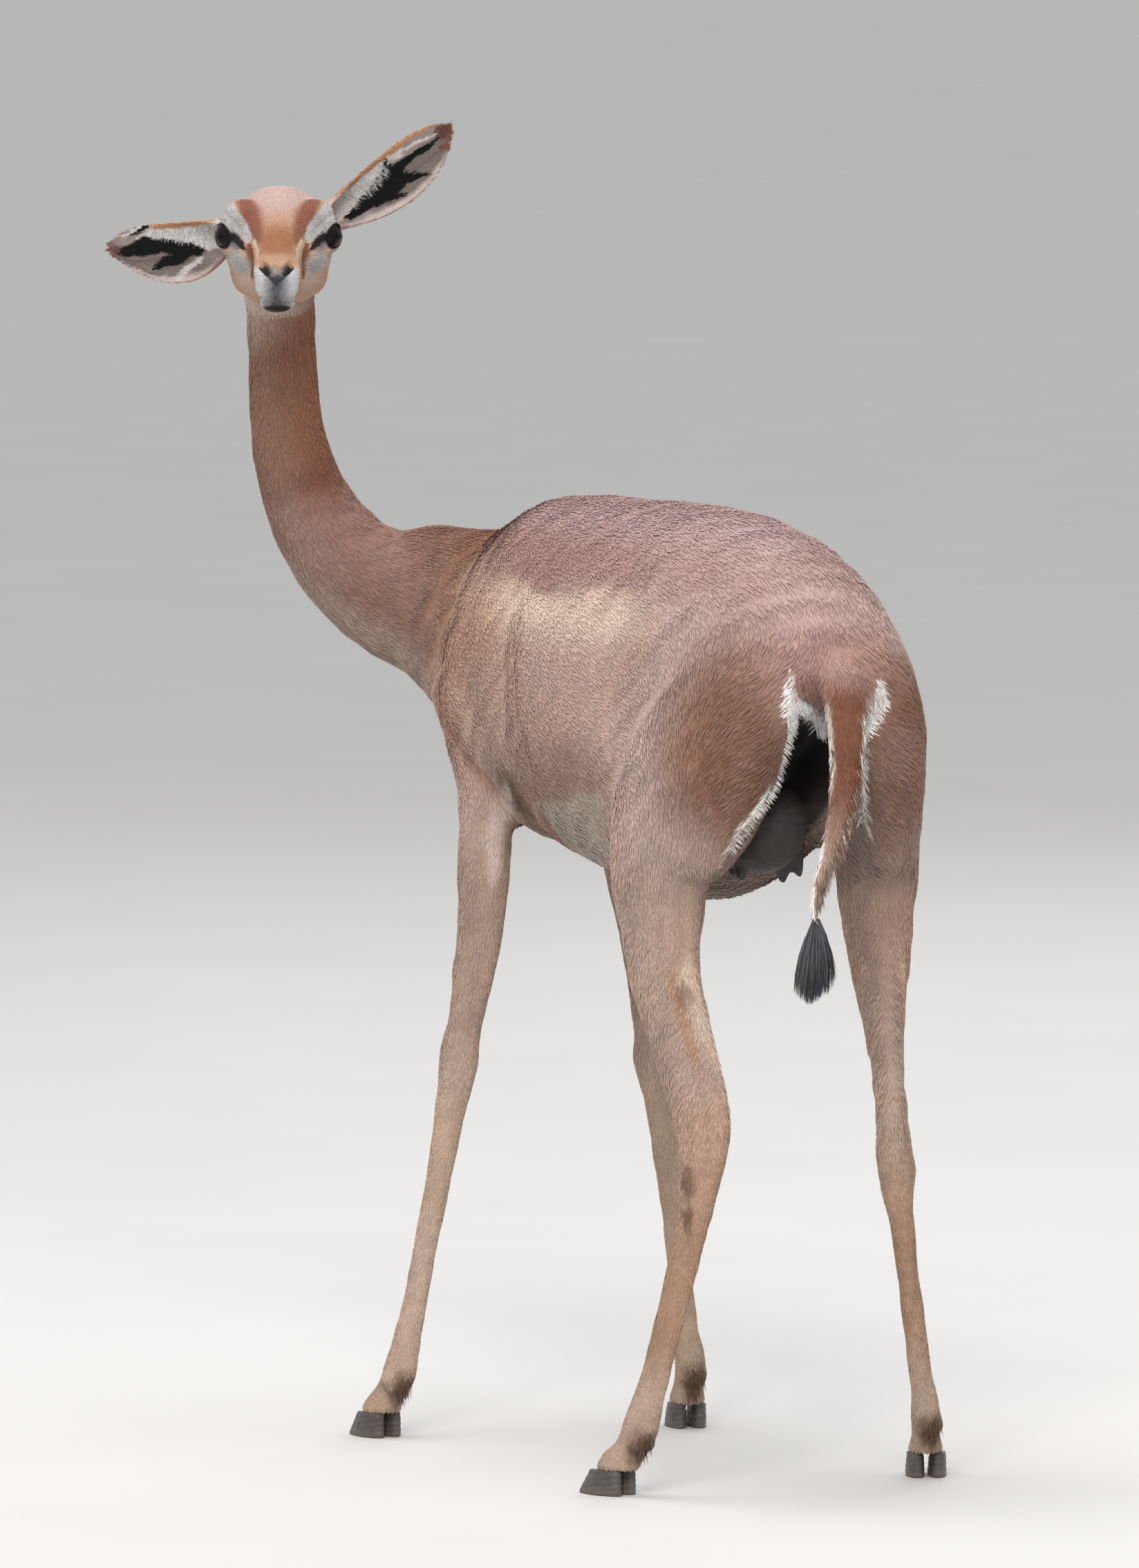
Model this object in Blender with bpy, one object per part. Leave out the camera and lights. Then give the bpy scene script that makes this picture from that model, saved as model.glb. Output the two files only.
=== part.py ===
"""A standing female gerenuk at life size, looking back over its left side.

Metres, +Z up. The animal faces -Y, so its left side is +X. The origin lies on the ground under the middle
of its box. Flesh is lofted from named sizes, fused by a voxel remesh, smoothed where limbs join the trunk,
shaped with soft pushes and then parted with thin cuts.
"""

import math
import random

import bmesh
import bpy
import numpy as np
from mathutils import Matrix, Vector

GAP = 0.00034  # clearance between touching nodes
BODY_VOXEL = 0.0045
HEAD_VOXEL = 0.0022

# Trunk: fore-and-aft place, back height, belly height, half width and roundness of each section.
SPINE_SWING = 0.030  # the croup stands this far to the right of the withers
SIDE_BIAS = 0.02  # the hips stand this far right of the origin
TRUNK = [
    (-0.402, 0.838, 0.735, 0.022, 2.0),
    (-0.380, 0.862, 0.690, 0.052, 2.0),
    (-0.315, 0.897, 0.632, 0.078, 2.1),
    (-0.220, 0.930, 0.598, 0.098, 2.1),
    (-0.140, 0.940, 0.590, 0.112, 2.2),
    (-0.010, 0.942, 0.570, 0.127, 2.2),
    (0.090, 0.942, 0.556, 0.132, 2.2),
    (0.170, 0.934, 0.588, 0.124, 2.2),
    (0.240, 0.914, 0.645, 0.112, 2.2),
    (0.295, 0.882, 0.695, 0.094, 2.1),
    (0.335, 0.838, 0.730, 0.066, 2.0),
    (0.352, 0.805, 0.755, 0.036, 2.0),
]

# Legs: centre x, y, z, the half widths across and fore-and-aft, and how far the section is turned
# outwards in degrees, from the shoulder or hip down.
FORELEG_LEFT = [
    (0.030, -0.200, 0.895, 0.022, 0.040, 0),
    (0.048, -0.228, 0.840, 0.034, 0.060, 0),
    (0.062, -0.250, 0.770, 0.037, 0.070, 0),
    (0.066, -0.256, 0.710, 0.034, 0.059, 0),
    (0.064, -0.252, 0.660, 0.027, 0.046, 0),
    (0.060, -0.258, 0.615, 0.0245, 0.038, 4),
    (0.059, -0.266, 0.560, 0.0235, 0.034, 6),
    (0.060, -0.277, 0.490, 0.0200, 0.0280, 8),
    (0.068, -0.289, 0.415, 0.0165, 0.0205, 8),
    (0.073, -0.296, 0.370, 0.0190, 0.0230, 8),
    (0.083, -0.292, 0.322, 0.0150, 0.0180, 8),
    (0.108, -0.290, 0.205, 0.0115, 0.0140, 8),
    (0.130, -0.289, 0.108, 0.0122, 0.0145, 10),
    (0.140, -0.287, 0.068, 0.0160, 0.0185, 12),
    (0.147, -0.297, 0.044, 0.0150, 0.0160, 12),
    (0.152, -0.306, 0.026, 0.0185, 0.0205, 12),
    (0.154, -0.310, 0.010, 0.0180, 0.0200, 12),
]
FORELEG_RIGHT = [
    (-0.030, -0.200, 0.895, 0.022, 0.040, 0),
    (-0.048, -0.226, 0.840, 0.034, 0.060, 0),
    (-0.062, -0.246, 0.770, 0.037, 0.070, 0),
    (-0.068, -0.246, 0.710, 0.034, 0.059, 0),
    (-0.071, -0.238, 0.660, 0.027, 0.046, 0),
    (-0.076, -0.235, 0.615, 0.0245, 0.038, 4),
    (-0.087, -0.238, 0.560, 0.0235, 0.034, 6),
    (-0.101, -0.243, 0.490, 0.0200, 0.0280, 8),
    (-0.113, -0.247, 0.415, 0.0165, 0.0205, 8),
    (-0.118, -0.250, 0.370, 0.0190, 0.0230, 8),
    (-0.124, -0.244, 0.322, 0.0150, 0.0180, 8),
    (-0.136, -0.236, 0.205, 0.0115, 0.0140, 8),
    (-0.145, -0.230, 0.108, 0.0122, 0.0145, 10),
    (-0.149, -0.227, 0.068, 0.0160, 0.0185, 12),
    (-0.152, -0.237, 0.044, 0.0150, 0.0160, 12),
    (-0.155, -0.246, 0.026, 0.0185, 0.0205, 12),
    (-0.156, -0.250, 0.010, 0.0180, 0.0200, 12),
]
HIND_LEG_LEFT = [
    (0.008, 0.205, 0.868, 0.038, 0.057, 0),
    (0.026, 0.234, 0.810, 0.054, 0.088, 0),
    (0.050, 0.234, 0.730, 0.058, 0.110, 2),
    (0.074, 0.205, 0.650, 0.049, 0.097, 5),
    (0.085, 0.191, 0.600, 0.041, 0.070, 8),
    (0.087, 0.195, 0.552, 0.033, 0.056, 10),
    (0.093, 0.216, 0.499, 0.0265, 0.046, 14),
    (0.096, 0.255, 0.4455, 0.0200, 0.0400, 20),
    (0.096, 0.291, 0.392, 0.0172, 0.0365, 24),
    (0.0965, 0.305, 0.366, 0.0180, 0.0345, 25),
    (0.0970, 0.306, 0.339, 0.0195, 0.0285, 25),
    (0.0978, 0.303, 0.3125, 0.0188, 0.0218, 25),
    (0.0988, 0.299, 0.286, 0.0158, 0.0182, 25),
    (0.1020, 0.292, 0.259, 0.0128, 0.0172, 25),
    (0.1104, 0.280, 0.205, 0.0116, 0.0170, 25),
    (0.1235, 0.262, 0.125, 0.0118, 0.0160, 25),
    (0.1292, 0.256, 0.0985, 0.0126, 0.0165, 25),
    (0.1346, 0.249, 0.070, 0.0160, 0.0195, 25),
    (0.1400, 0.236, 0.045, 0.0150, 0.0165, 25),
    (0.1470, 0.222, 0.026, 0.0185, 0.0205, 25),
    (0.1500, 0.217, 0.010, 0.0180, 0.0200, 25),
]
HIND_LEG_RIGHT = [
    (-0.058, 0.205, 0.868, 0.038, 0.057, 0),
    (-0.078, 0.234, 0.810, 0.054, 0.088, 0),
    (-0.101, 0.234, 0.730, 0.057, 0.110, 2),
    (-0.125, 0.205, 0.650, 0.048, 0.097, 5),
    (-0.145, 0.190, 0.600, 0.040, 0.070, 8),
    (-0.145, 0.195, 0.548, 0.0335, 0.056, 8),
    (-0.138, 0.217, 0.495, 0.0280, 0.046, 13),
    (-0.122, 0.257, 0.4415, 0.0190, 0.0400, 20),
    (-0.1085, 0.294, 0.388, 0.0152, 0.0365, 22),
    (-0.1058, 0.306, 0.3615, 0.0160, 0.0345, 24),
    (-0.1070, 0.307, 0.335, 0.0175, 0.0285, 25),
    (-0.1128, 0.303, 0.308, 0.0182, 0.0218, 25),
    (-0.1168, 0.298, 0.281, 0.0155, 0.0182, 25),
    (-0.1238, 0.292, 0.2545, 0.0122, 0.0172, 25),
    (-0.1373, 0.279, 0.201, 0.0112, 0.0170, 25),
    (-0.1560, 0.263, 0.124, 0.0114, 0.0160, 25),
    (-0.1637, 0.256, 0.094, 0.0122, 0.0165, 25),
    (-0.1715, 0.249, 0.0675, 0.0152, 0.0195, 25),
    (-0.1785, 0.236, 0.043, 0.0145, 0.0165, 25),
    (-0.1850, 0.222, 0.026, 0.0180, 0.0205, 25),
    (-0.1880, 0.217, 0.010, 0.0175, 0.0200, 25),
]

# Neck: centre, half width across and half depth from nape to throat, from the chest up.
NECK = [
    (0.000, -0.240, 0.775, 0.078, 0.118),
    (0.008, -0.337, 0.795, 0.067, 0.103),
    (0.039, -0.413, 0.816, 0.059, 0.083),
    (0.088, -0.461, 0.835, 0.053, 0.065),
    (0.134, -0.484, 0.888, 0.047, 0.051),
    (0.163, -0.485, 0.950, 0.0410, 0.0415),
    (0.177, -0.480, 1.010, 0.037, 0.037),
    (0.182, -0.474, 1.070, 0.0350, 0.036),
    (0.188, -0.468, 1.120, 0.0350, 0.038),
    (0.195, -0.453, 1.160, 0.0365, 0.041),
    (0.204, -0.430, 1.190, 0.0350, 0.037),
    (0.216, -0.403, 1.208, 0.0300, 0.030),
]

# Tail: centre, half width across and half depth, from the rump down to the tuft.
TAIL = [
    (-0.034, 0.296, 0.838, 0.026, 0.022),
    (-0.032, 0.342, 0.790, 0.024, 0.014),
    (-0.028, 0.362, 0.745, 0.0205, 0.0095),
    (-0.021, 0.371, 0.700, 0.0160, 0.0080),
    (-0.012, 0.378, 0.662, 0.0120, 0.0070),
    (0.002, 0.386, 0.630, 0.0085, 0.0060),
    (0.015, 0.390, 0.600, 0.0062, 0.0052),
    (0.020, 0.391, 0.570, 0.0042, 0.0038),
    (0.019, 0.392, 0.552, 0.0032, 0.0030),
]
# Brush at the tail's end, out to its tips: the same five numbers.
TUFT = [
    (0.0190, 0.3920, 0.5590, 0.0034, 0.0032),
    (0.0185, 0.3925, 0.5436, 0.0056, 0.0050),
    (0.0168, 0.3930, 0.5300, 0.0088, 0.0072),
    (0.0175, 0.3940, 0.5170, 0.0128, 0.0096),
    (0.0215, 0.3950, 0.5040, 0.0170, 0.0120),
    (0.0266, 0.3960, 0.4907, 0.0140, 0.0100),
    (0.0310, 0.3970, 0.4840, 0.0060, 0.0045),
]
TUFT_CORE = 0.5  # the core's share of the brush's width
LOCKS = 20
LOCK_HALF = (0.0046, 0.0015)  # half width and half thickness of a lock
# Lock from root to tip: share of its length, share of its width.
LOCK_SHAPE = [(0.0, 0.55), (0.25, 0.95), (0.50, 1.0), (0.72, 0.80), (0.90, 0.42), (1.0, 0.10)]

# Head: place ahead of the nape, crown height, jaw depth, half width and roundness.
HEAD_AT = Vector((0.192, -0.456, 1.185))  # nape end of the head's axis
HEAD_TURN = math.radians(154.5)  # from straight ahead round to the left
HEAD_NOD = math.radians(8.5)  # nose below level
SKULL = [
    (0.000, 0.026, -0.018, 0.022, 2.0),
    (0.014, 0.043, -0.036, 0.035, 2.1),
    (0.036, 0.055, -0.048, 0.044, 2.3),
    (0.064, 0.060, -0.053, 0.0475, 2.5),
    (0.096, 0.056, -0.052, 0.0485, 2.5),
    (0.124, 0.047, -0.047, 0.0435, 2.4),
    (0.150, 0.038, -0.037, 0.0335, 2.3),
    (0.176, 0.030, -0.028, 0.0245, 2.3),
    (0.200, 0.0255, -0.025, 0.0215, 2.3),
    (0.217, 0.0225, -0.0255, 0.0218, 2.4),
    (0.229, 0.0165, -0.0235, 0.0185, 2.4),
    (0.235, 0.0080, -0.017, 0.0100, 2.0),
]
JAW = [
    (0.090, -0.010, -0.048, 0.032, 2.2),
    (0.130, -0.014, -0.046, 0.026, 2.2),
    (0.165, -0.018, -0.042, 0.0190, 2.2),
    (0.195, -0.020, -0.0390, 0.0172, 2.2),
    (0.214, -0.022, -0.0368, 0.0160, 2.1),
    (0.223, -0.025, -0.0325, 0.0095, 2.0),
]
# Brow, socket and cheek bulges: centre and radii.
CHEEKS = [
    ((0.033, 0.095, 0.038), (0.022, 0.032, 0.016)),
    ((0.0335, 0.098, 0.000), (0.0185, 0.046, 0.021)),
    ((0.031, 0.128, 0.006), (0.014, 0.034, 0.018)),
    ((0.031, 0.070, -0.022), (0.0150, 0.036, 0.025)),
]
EYE_AT = Vector((0.0460, 0.108, 0.0205))  # right, ahead and up in the head's own frame
EYE_RADIUS = 0.0165
EYE_FACES = Vector((0.80, 0.58, 0.06)).normalized()
LID = 0.0022  # skin over the eyeball
OPENING = (0.0162, 0.0138)  # half length and half height of the gap between the lids

EAR_LENGTH = 0.178
EAR_WIDTH = [0.0115, 0.0160, 0.0215, 0.0270, 0.0308, 0.0318, 0.0290, 0.0205, 0.0030]
EAR_CUP = [0.0130, 0.0180, 0.0165, 0.0135, 0.0110, 0.0085, 0.0060, 0.0030, 0.0005]
EAR_WRAP = [150, 140, 118, 98, 84, 74, 66, 60, 60]  # half angle of the cup in degrees
EAR_SKIN = 0.0021
EAR_ROOT = 0.020  # length buried in the head
EAR_BASE = Vector((0.040, 0.040, 0.028))
# Along the ear, where its cup faces, how far the blade bows to its outer edge, its width's scale, and lift.
EAR_RIGHT = (Vector((0.128, -0.070, -0.040)), Vector((0.05, 1.0, 0.10)), 0.020, 1.0, -0.006)
EAR_LEFT = (Vector((-0.130, -0.010, 0.0885)), Vector((0.05, 1.0, -0.05)), 0.014, 0.90, 0.0)

UDDER_AT = Vector((0.004, 0.235, 0.640))
UDDER_RADII = (0.043, 0.062, 0.046)
TEATS = [(0.024, 0.240, 0.588), (-0.022, 0.238, 0.584), (-0.034, 0.250, 0.590), (0.020, 0.215, 0.590)]

COLLAR = 0.0243  # top of the hooves plus the gap
HOOF_APART = 0.0102  # from the foot's middle to each digit's middle
# Hoof: height, length, half width, how far back its middle stands.
HOOF = [
    (0.0, 0.054, 0.0096, -0.007),
    (0.004, 0.053, 0.0098, -0.006),
    (0.014, 0.046, 0.0094, -0.003),
    (0.024, 0.039, 0.0086, 0.0),
]
# Dewclaw from root to tip: place ahead of the back of the foot, height, half width.
DEWCLAW = [(0.012, 0.061, 0.0056), (0.003, 0.056, 0.0060), (-0.001, 0.050, 0.0050), (-0.003, 0.0445, 0.0022)]
DEWCLAW_APART = 0.0088
DEWCLAW_BACK = {"fore": -0.0325, "hind": -0.0415}
HEADING = {"fore_left": 12, "fore_right": -12, "hind_left": 22, "hind_right": -22}  # toes outwards

# Cuts: a point and the direction they face. The head's cut is in its own frame.
HEAD_CUT = ((0, 0.03, -0.075), (0, -0.35, -1))
NECK_BASE = ((0, -0.36, 0.80), (0.2, -0.9, 0.4))
NECK_MIDDLE = ((0.150, -0.485, 0.925), (0.46, -0.04, 0.89))
KNEE = 0.345
HOCK = 0.335
TAIL_END = 0.5590
# How far towards the midline each leg's parting reaches, as a share of its half width, going down.
FORE_INNER = [0.7, 0.9, 1.4, 1.8]
HIND_INNER = [0.5, 0.8, 1.3, 1.6, 1.8]
BODY_TRIANGLES = 5000
HEAD_TRIANGLES = 3300

COAT = (0.42, 0.24, 0.15)
HORN = (0.055, 0.045, 0.040)
EYE = (0.012, 0.008, 0.006)
UDDER = (0.060, 0.050, 0.048)
BRUSH = (0.050, 0.042, 0.040)


def catmull(rows, steps):
    """Rows of numbers read at even steps along a smooth curve through them."""
    data = np.array(rows, float)
    padded = np.vstack([2 * data[0] - data[1], data, 2 * data[-1] - data[-2]])
    out = []
    for i in range(len(data) - 1):
        p0, p1, p2, p3 = padded[i : i + 4]
        for t in np.arange(steps) / steps:
            out.append(
                0.5
                * (
                    2 * p1
                    + (p2 - p0) * t
                    + (2 * p0 - 5 * p1 + 4 * p2 - p3) * t**2
                    + (3 * p1 - p0 - 3 * p2 + p3) * t**3
                )
            )
    out.append(data[-1])
    return np.array(out)


def ease(low, high, value):
    """0 below low, 1 above high and smooth between."""
    t = np.clip((value - low) / (high - low), 0, 1)
    return t * t * (3 - 2 * t)


def superellipse(across, above, below, power, count):
    """Points of a rounded section as pairs: across, up."""
    pairs = []
    for k in range(count):
        a = 2 * math.pi * k / count
        c, s = math.cos(a), math.sin(a)
        x = across * math.copysign(abs(c) ** (2 / power), c)
        y = (above if s > 0 else below) * math.copysign(abs(s) ** (2 / power), s)
        pairs.append((x, y))
    return pairs


def ring(centre, side, up, across, above, below, power=2.0, count=32):
    return [centre + side * x + up * y for x, y in superellipse(across, above, below, power, count)]


def loft(name, rings):
    """One closed mesh through the rings, each end closed by a flat face."""
    bm = bmesh.new()
    loops = [[bm.verts.new(p) for p in points] for points in rings]
    for low, high in zip(loops, loops[1:]):
        for k in range(len(low)):
            n = (k + 1) % len(low)
            bm.faces.new((low[k], low[n], high[n], high[k]))
    bm.faces.new(list(reversed(loops[0])))
    bm.faces.new(loops[-1])
    bmesh.ops.recalc_face_normals(bm, faces=bm.faces)
    return from_bmesh(name, bm)


def from_bmesh(name, bm):
    mesh = bpy.data.meshes.new(name)
    bm.to_mesh(mesh)
    bm.free()
    obj = bpy.data.objects.new(name, mesh)
    bpy.context.scene.collection.objects.link(obj)
    return obj


def ball(name, centre, radii, turn=None, segments=28, rings=18):
    """Ellipsoid with its own axes turned by a 3x3 matrix."""
    bm = bmesh.new()
    bmesh.ops.create_uvsphere(bm, u_segments=segments, v_segments=rings, radius=1)
    place = Matrix.Translation(centre)
    if turn is not None:
        place = place @ turn.to_4x4()
    bmesh.ops.transform(bm, matrix=place @ Matrix.Diagonal((*radii, 1)), verts=bm.verts)
    return from_bmesh(name, bm)


def limb_rings(rows, count=28, steps=5):
    """Rings of a limb. Each ring lies square to the path, with its width close to world X."""
    path = catmull(rows, steps)
    centres = [Vector(p[:3]) for p in path]
    rings = []
    for i, p in enumerate(path):
        ahead = (centres[min(i + 1, len(path) - 1)] - centres[max(i - 1, 0)]).normalized()
        turn = math.radians(p[5]) * outward(p[0]) if len(p) > 5 else 0.0
        side = Vector((math.cos(turn), math.sin(turn), 0))
        side = (side - ahead * ahead.dot(side)).normalized()
        rings.append(ring(centres[i], side, ahead.cross(side), p[3], p[4], p[4], 2.0, count))
    return rings


def sleeve(rows, grow, inner):
    """Level rings that hold a leg with room to spare, closer on the side of the body's middle."""
    rings = []
    for i, (x, y, z, half, deep, _) in enumerate(rows):
        height = z if i < len(rows) - 1 else -0.03
        near = half * inner[min(i, len(inner) - 1)]
        far = half * 1.6 + 0.012
        centre = Vector((x + outward(x) * (far - near) / 2, y, height))
        side, ahead = Vector((1, 0, 0)), Vector((0, 1, 0))
        width, length = (far + near) / 2 + grow, deep * 1.4 + 0.014 + grow
        rings.append(ring(centre, side, ahead, width, length, length, 2.6, 24))
    return rings


def outward(x):
    return math.copysign(1, x + SIDE_BIAS)


def trunk_rings(count=44, steps=5):
    rings = []
    for y, top, bottom, half, power in catmull(TRUNK, steps):
        swing = -SPINE_SWING * ease(-0.15, 0.36, y)
        middle = (top * 0.47 + bottom * 0.53)
        centre = Vector((swing, y, middle))
        rings.append(ring(centre, Vector((1, 0, 0)), Vector((0, 0, 1)), half, top - middle, middle - bottom, power, count))
    return rings


def neck_rings(count=36, steps=5):
    """The neck twists, so its side turns from the body's to the head's as it climbs."""
    path = catmull(NECK, steps)
    centres = [Vector(p[:3]) for p in path]
    rings = []
    for i, p in enumerate(path):
        ahead = (centres[min(i + 1, len(path) - 1)] - centres[max(i - 1, 0)]).normalized()
        share = float(ease(0.15, 0.95, i / (len(path) - 1)))
        turn = HEAD_TURN * share
        side = Vector((math.cos(turn), math.sin(turn), 0))
        side = (side - ahead * side.dot(ahead)).normalized()
        deep = ahead.cross(side)
        rings.append(ring(centres[i], side, deep, p[3], p[4], p[4], 2.0, count))
    return rings


def head_frame():
    """Matrix from the head's own frame (right, ahead, up) to the world."""
    level = Vector((math.sin(HEAD_TURN), -math.cos(HEAD_TURN), 0))
    right = level.cross(Vector((0, 0, 1)))
    ahead = level * math.cos(HEAD_NOD) - Vector((0, 0, math.sin(HEAD_NOD)))
    turn = Matrix((right, ahead, right.cross(ahead))).transposed()
    return Matrix.Translation(HEAD_AT) @ turn.to_4x4()


def skull_rings(rows, count=40, steps=5):
    rings = []
    for place, top, bottom, half, power in catmull(rows, steps):
        middle = (top + bottom) / 2
        centre = Vector((0, place, middle))
        rings.append(ring(centre, Vector((1, 0, 0)), Vector((0, 0, 1)), half, top - middle, middle - bottom, power, count))
    return rings


def modified(obj, kind, **settings):
    """Applies one modifier and keeps the result as the object's mesh."""
    modifier = obj.modifiers.new(kind.title(), kind)
    for key, value in settings.items():
        setattr(modifier, key, value)
    bpy.context.view_layer.update()
    evaluated = obj.evaluated_get(bpy.context.evaluated_depsgraph_get())
    mesh = bpy.data.meshes.new_from_object(evaluated)
    obj.modifiers.clear()
    obj.data = mesh
    return obj


def joined(name, objects):
    """One object that holds all these meshes, in world space."""
    bm = bmesh.new()
    for obj in objects:
        bm.from_mesh(obj.data)
        bpy.data.objects.remove(obj)
    return from_bmesh(name, bm)


def points_of(obj):
    co = np.empty(len(obj.data.vertices) * 3)
    obj.data.vertices.foreach_get("co", co)
    return co.reshape(-1, 3)


def move_points(obj, co):
    obj.data.vertices.foreach_set("co", co.ravel())
    obj.data.update()


def soften(obj, rounds, share):
    """Relaxes the mesh where share, one number for each point, is above 0."""
    group = obj.vertex_groups.new(name="soft")
    levels = np.round(np.clip(share, 0, 1) * 20).astype(int)
    for level in np.unique(levels):
        if level:
            group.add(np.nonzero(levels == level)[0].tolist(), level / 20, "REPLACE")
    modified(obj, "SMOOTH", factor=0.5, iterations=rounds, vertex_group="soft")
    obj.vertex_groups.clear()
    return obj


def push(co, centre, reach, shift):
    """Moves points near centre by shift, fading over reach, which may differ by axis."""
    away = (co - np.array(centre)) / np.array(reach)
    return co + np.exp(-(away**2).sum(1))[:, None] * np.array(shift)


def groove(co, normals, line, width, depth):
    """Sinks, or with a negative depth raises, the points near a polyline along their normals."""
    line = np.array(line, float)
    nearest = np.full(len(co), 1e9)
    for a, b in zip(line, line[1:]):
        span = b - a
        t = np.clip(((co - a) @ span) / (span @ span), 0, 1)
        nearest = np.minimum(nearest, np.linalg.norm(co - (a + t[:, None] * span), axis=1))
    return co - normals * (depth * np.exp(-((nearest / width) ** 2)))[:, None]


def normals_of(obj):
    values = np.empty(len(obj.data.vertices) * 3)
    obj.data.vertex_normals.foreach_get("vector", values)
    return values.reshape(-1, 3)


def combined(obj, other, operation):
    """Boolean of two closed meshes; other is removed."""
    modified(obj, "BOOLEAN", object=other, operation=operation, solver="EXACT")
    bpy.data.objects.remove(other)
    return obj


def united(obj, others):
    """One closed body from obj and all the others, which are removed."""
    group = bpy.data.collections.new("pieces")
    for other in others:
        group.objects.link(other)
    modified(obj, "BOOLEAN", operand_type="COLLECTION", collection=group, operation="UNION", solver="MANIFOLD")
    for other in others:
        bpy.data.objects.remove(other)
    bpy.data.collections.remove(group)
    return obj


def copy_of(obj, name):
    twin = bpy.data.objects.new(name, obj.data.copy())
    bpy.context.scene.collection.objects.link(twin)
    return twin


def swollen(obj, name, amount):
    """A copy whose points stand out by amount along their normals."""
    twin = copy_of(obj, name)
    move_points(twin, points_of(twin) + normals_of(twin) * amount)
    return twin


def clipped(obj, point, normal):
    """Keeps the side of a plane that its normal points away from, and caps the cut."""
    bm = bmesh.new()
    bm.from_mesh(obj.data)
    geometry = bm.verts[:] + bm.edges[:] + bm.faces[:]
    cut = bmesh.ops.bisect_plane(bm, geom=geometry, plane_co=point, plane_no=normal, clear_outer=True, dist=1e-6)
    edges = [e for e in cut["geom_cut"] if isinstance(e, bmesh.types.BMEdge) and e.is_valid and e.is_boundary]
    bmesh.ops.edgeloop_fill(bm, edges=edges)
    bmesh.ops.recalc_face_normals(bm, faces=bm.faces)
    bm.to_mesh(obj.data)
    bm.free()
    return obj


def largest_body(obj):
    """Drops every closed surface but the largest."""
    bm = bmesh.new()
    bm.from_mesh(obj.data)
    seen, bodies = set(), []
    for start in bm.faces:
        if start in seen:
            continue
        body, queue = [], [start]
        seen.add(start)
        while queue:
            face = queue.pop()
            body.append(face)
            for edge in face.edges:
                for near in edge.link_faces:
                    if near not in seen:
                        seen.add(near)
                        queue.append(near)
        bodies.append(body)
    bodies.sort(key=lambda faces: sum(f.calc_area() for f in faces))
    scraps = [f for body in bodies[:-1] for f in body]
    bmesh.ops.delete(bm, geom=scraps, context="FACES")
    bmesh.ops.triangulate(bm, faces=bm.faces)
    bm.to_mesh(obj.data)
    bm.free()
    return obj


def thinned(obj, triangles):
    """Collapses the mesh to about this many triangles."""
    modified(obj, "TRIANGULATE")
    return modified(obj, "DECIMATE", ratio=triangles / len(obj.data.polygons), use_collapse_triangulate=True)


def body_flesh():
    """Trunk, neck and legs as one smooth surface."""
    pieces = [loft("trunk", trunk_rings()), loft("neck", neck_rings())]
    for rows in (FORELEG_LEFT, FORELEG_RIGHT, HIND_LEG_LEFT, HIND_LEG_RIGHT):
        pieces.append(loft("leg", limb_rings(rows)))
    flesh = joined("flesh", pieces)
    modified(flesh, "REMESH", mode="VOXEL", voxel_size=BODY_VOXEL)
    height = points_of(flesh)[:, 2]
    soften(flesh, 45, ease(0.56, 0.66, height))
    soften(flesh, 2, np.ones(len(flesh.data.vertices)))
    return flesh


def head_flesh(frame):
    """Skull, jaw and the top of the neck in the head's own frame."""
    back = frame.inverted()
    neck = loft("neck", neck_rings())
    neck.data.transform(back)
    clipped(neck, (0, 0, -0.125), (0, 0, -1))
    pieces = [neck, loft("skull", skull_rings(SKULL)), loft("jaw", skull_rings(JAW))]
    for side in (-1, 1):
        centre = Vector((EYE_AT.x * side, EYE_AT.y, EYE_AT.z))
        pieces.append(ball("orbit", centre, [EYE_RADIUS + LID] * 3))
        for spot, radii in CHEEKS:
            pieces.append(ball("cheek", Vector((spot[0] * side, *spot[1:])), radii))
    flesh = joined("head_flesh", pieces)
    modified(flesh, "REMESH", mode="VOXEL", voxel_size=HEAD_VOXEL)
    soften(flesh, 12, np.ones(len(flesh.data.vertices)))
    co = points_of(flesh)
    soften(flesh, 40, (1 - ease(0.025, 0.065, co[:, 1])) * (1 - ease(0.030, 0.055, co[:, 2])))
    return flesh


def ear_rings(side, turn, arc=8, steps=2):
    """Rings of one cupped ear: the outer skin one way round, the inner skin back."""
    along, faces, bow, slim, lift = turn
    base = Vector((EAR_BASE.x * side, EAR_BASE.y, EAR_BASE.z + lift))
    along = along.normalized()
    faces = (faces - along * faces.dot(along)).normalized()
    across = along.cross(faces)
    stations = catmull(list(zip(range(len(EAR_WIDTH)), EAR_WIDTH, EAR_CUP, EAR_WRAP)), steps)
    rings = []
    for place, width, cup, wrap in stations:
        width *= slim
        share = place / (len(EAR_WIDTH) - 1)
        centre = base + along * (EAR_LENGTH * share - EAR_ROOT)
        wrap = math.radians(wrap)
        reach = math.sin(min(wrap, math.pi / 2))
        skin = min(EAR_SKIN, cup * 0.9)
        outer, inner = [], []
        for k in range(arc + 1):
            a = wrap * (2 * k / arc - 1)
            lean = -side * bow * math.sin(math.pi * share)
            u = math.sin(a) / reach
            d = -math.cos(a)
            outer.append(centre + across * (width * u + lean) + faces * (cup * (d - math.cos(wrap))))
            shrink = max(width - skin, width * 0.4)
            dip = max(cup - skin, cup * 0.3)
            inner.append(centre + across * (shrink * u + lean) + faces * (dip * d - cup * math.cos(wrap) + skin * 0.5))
        rings.append(outer + list(reversed(inner)))
    return rings


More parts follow.
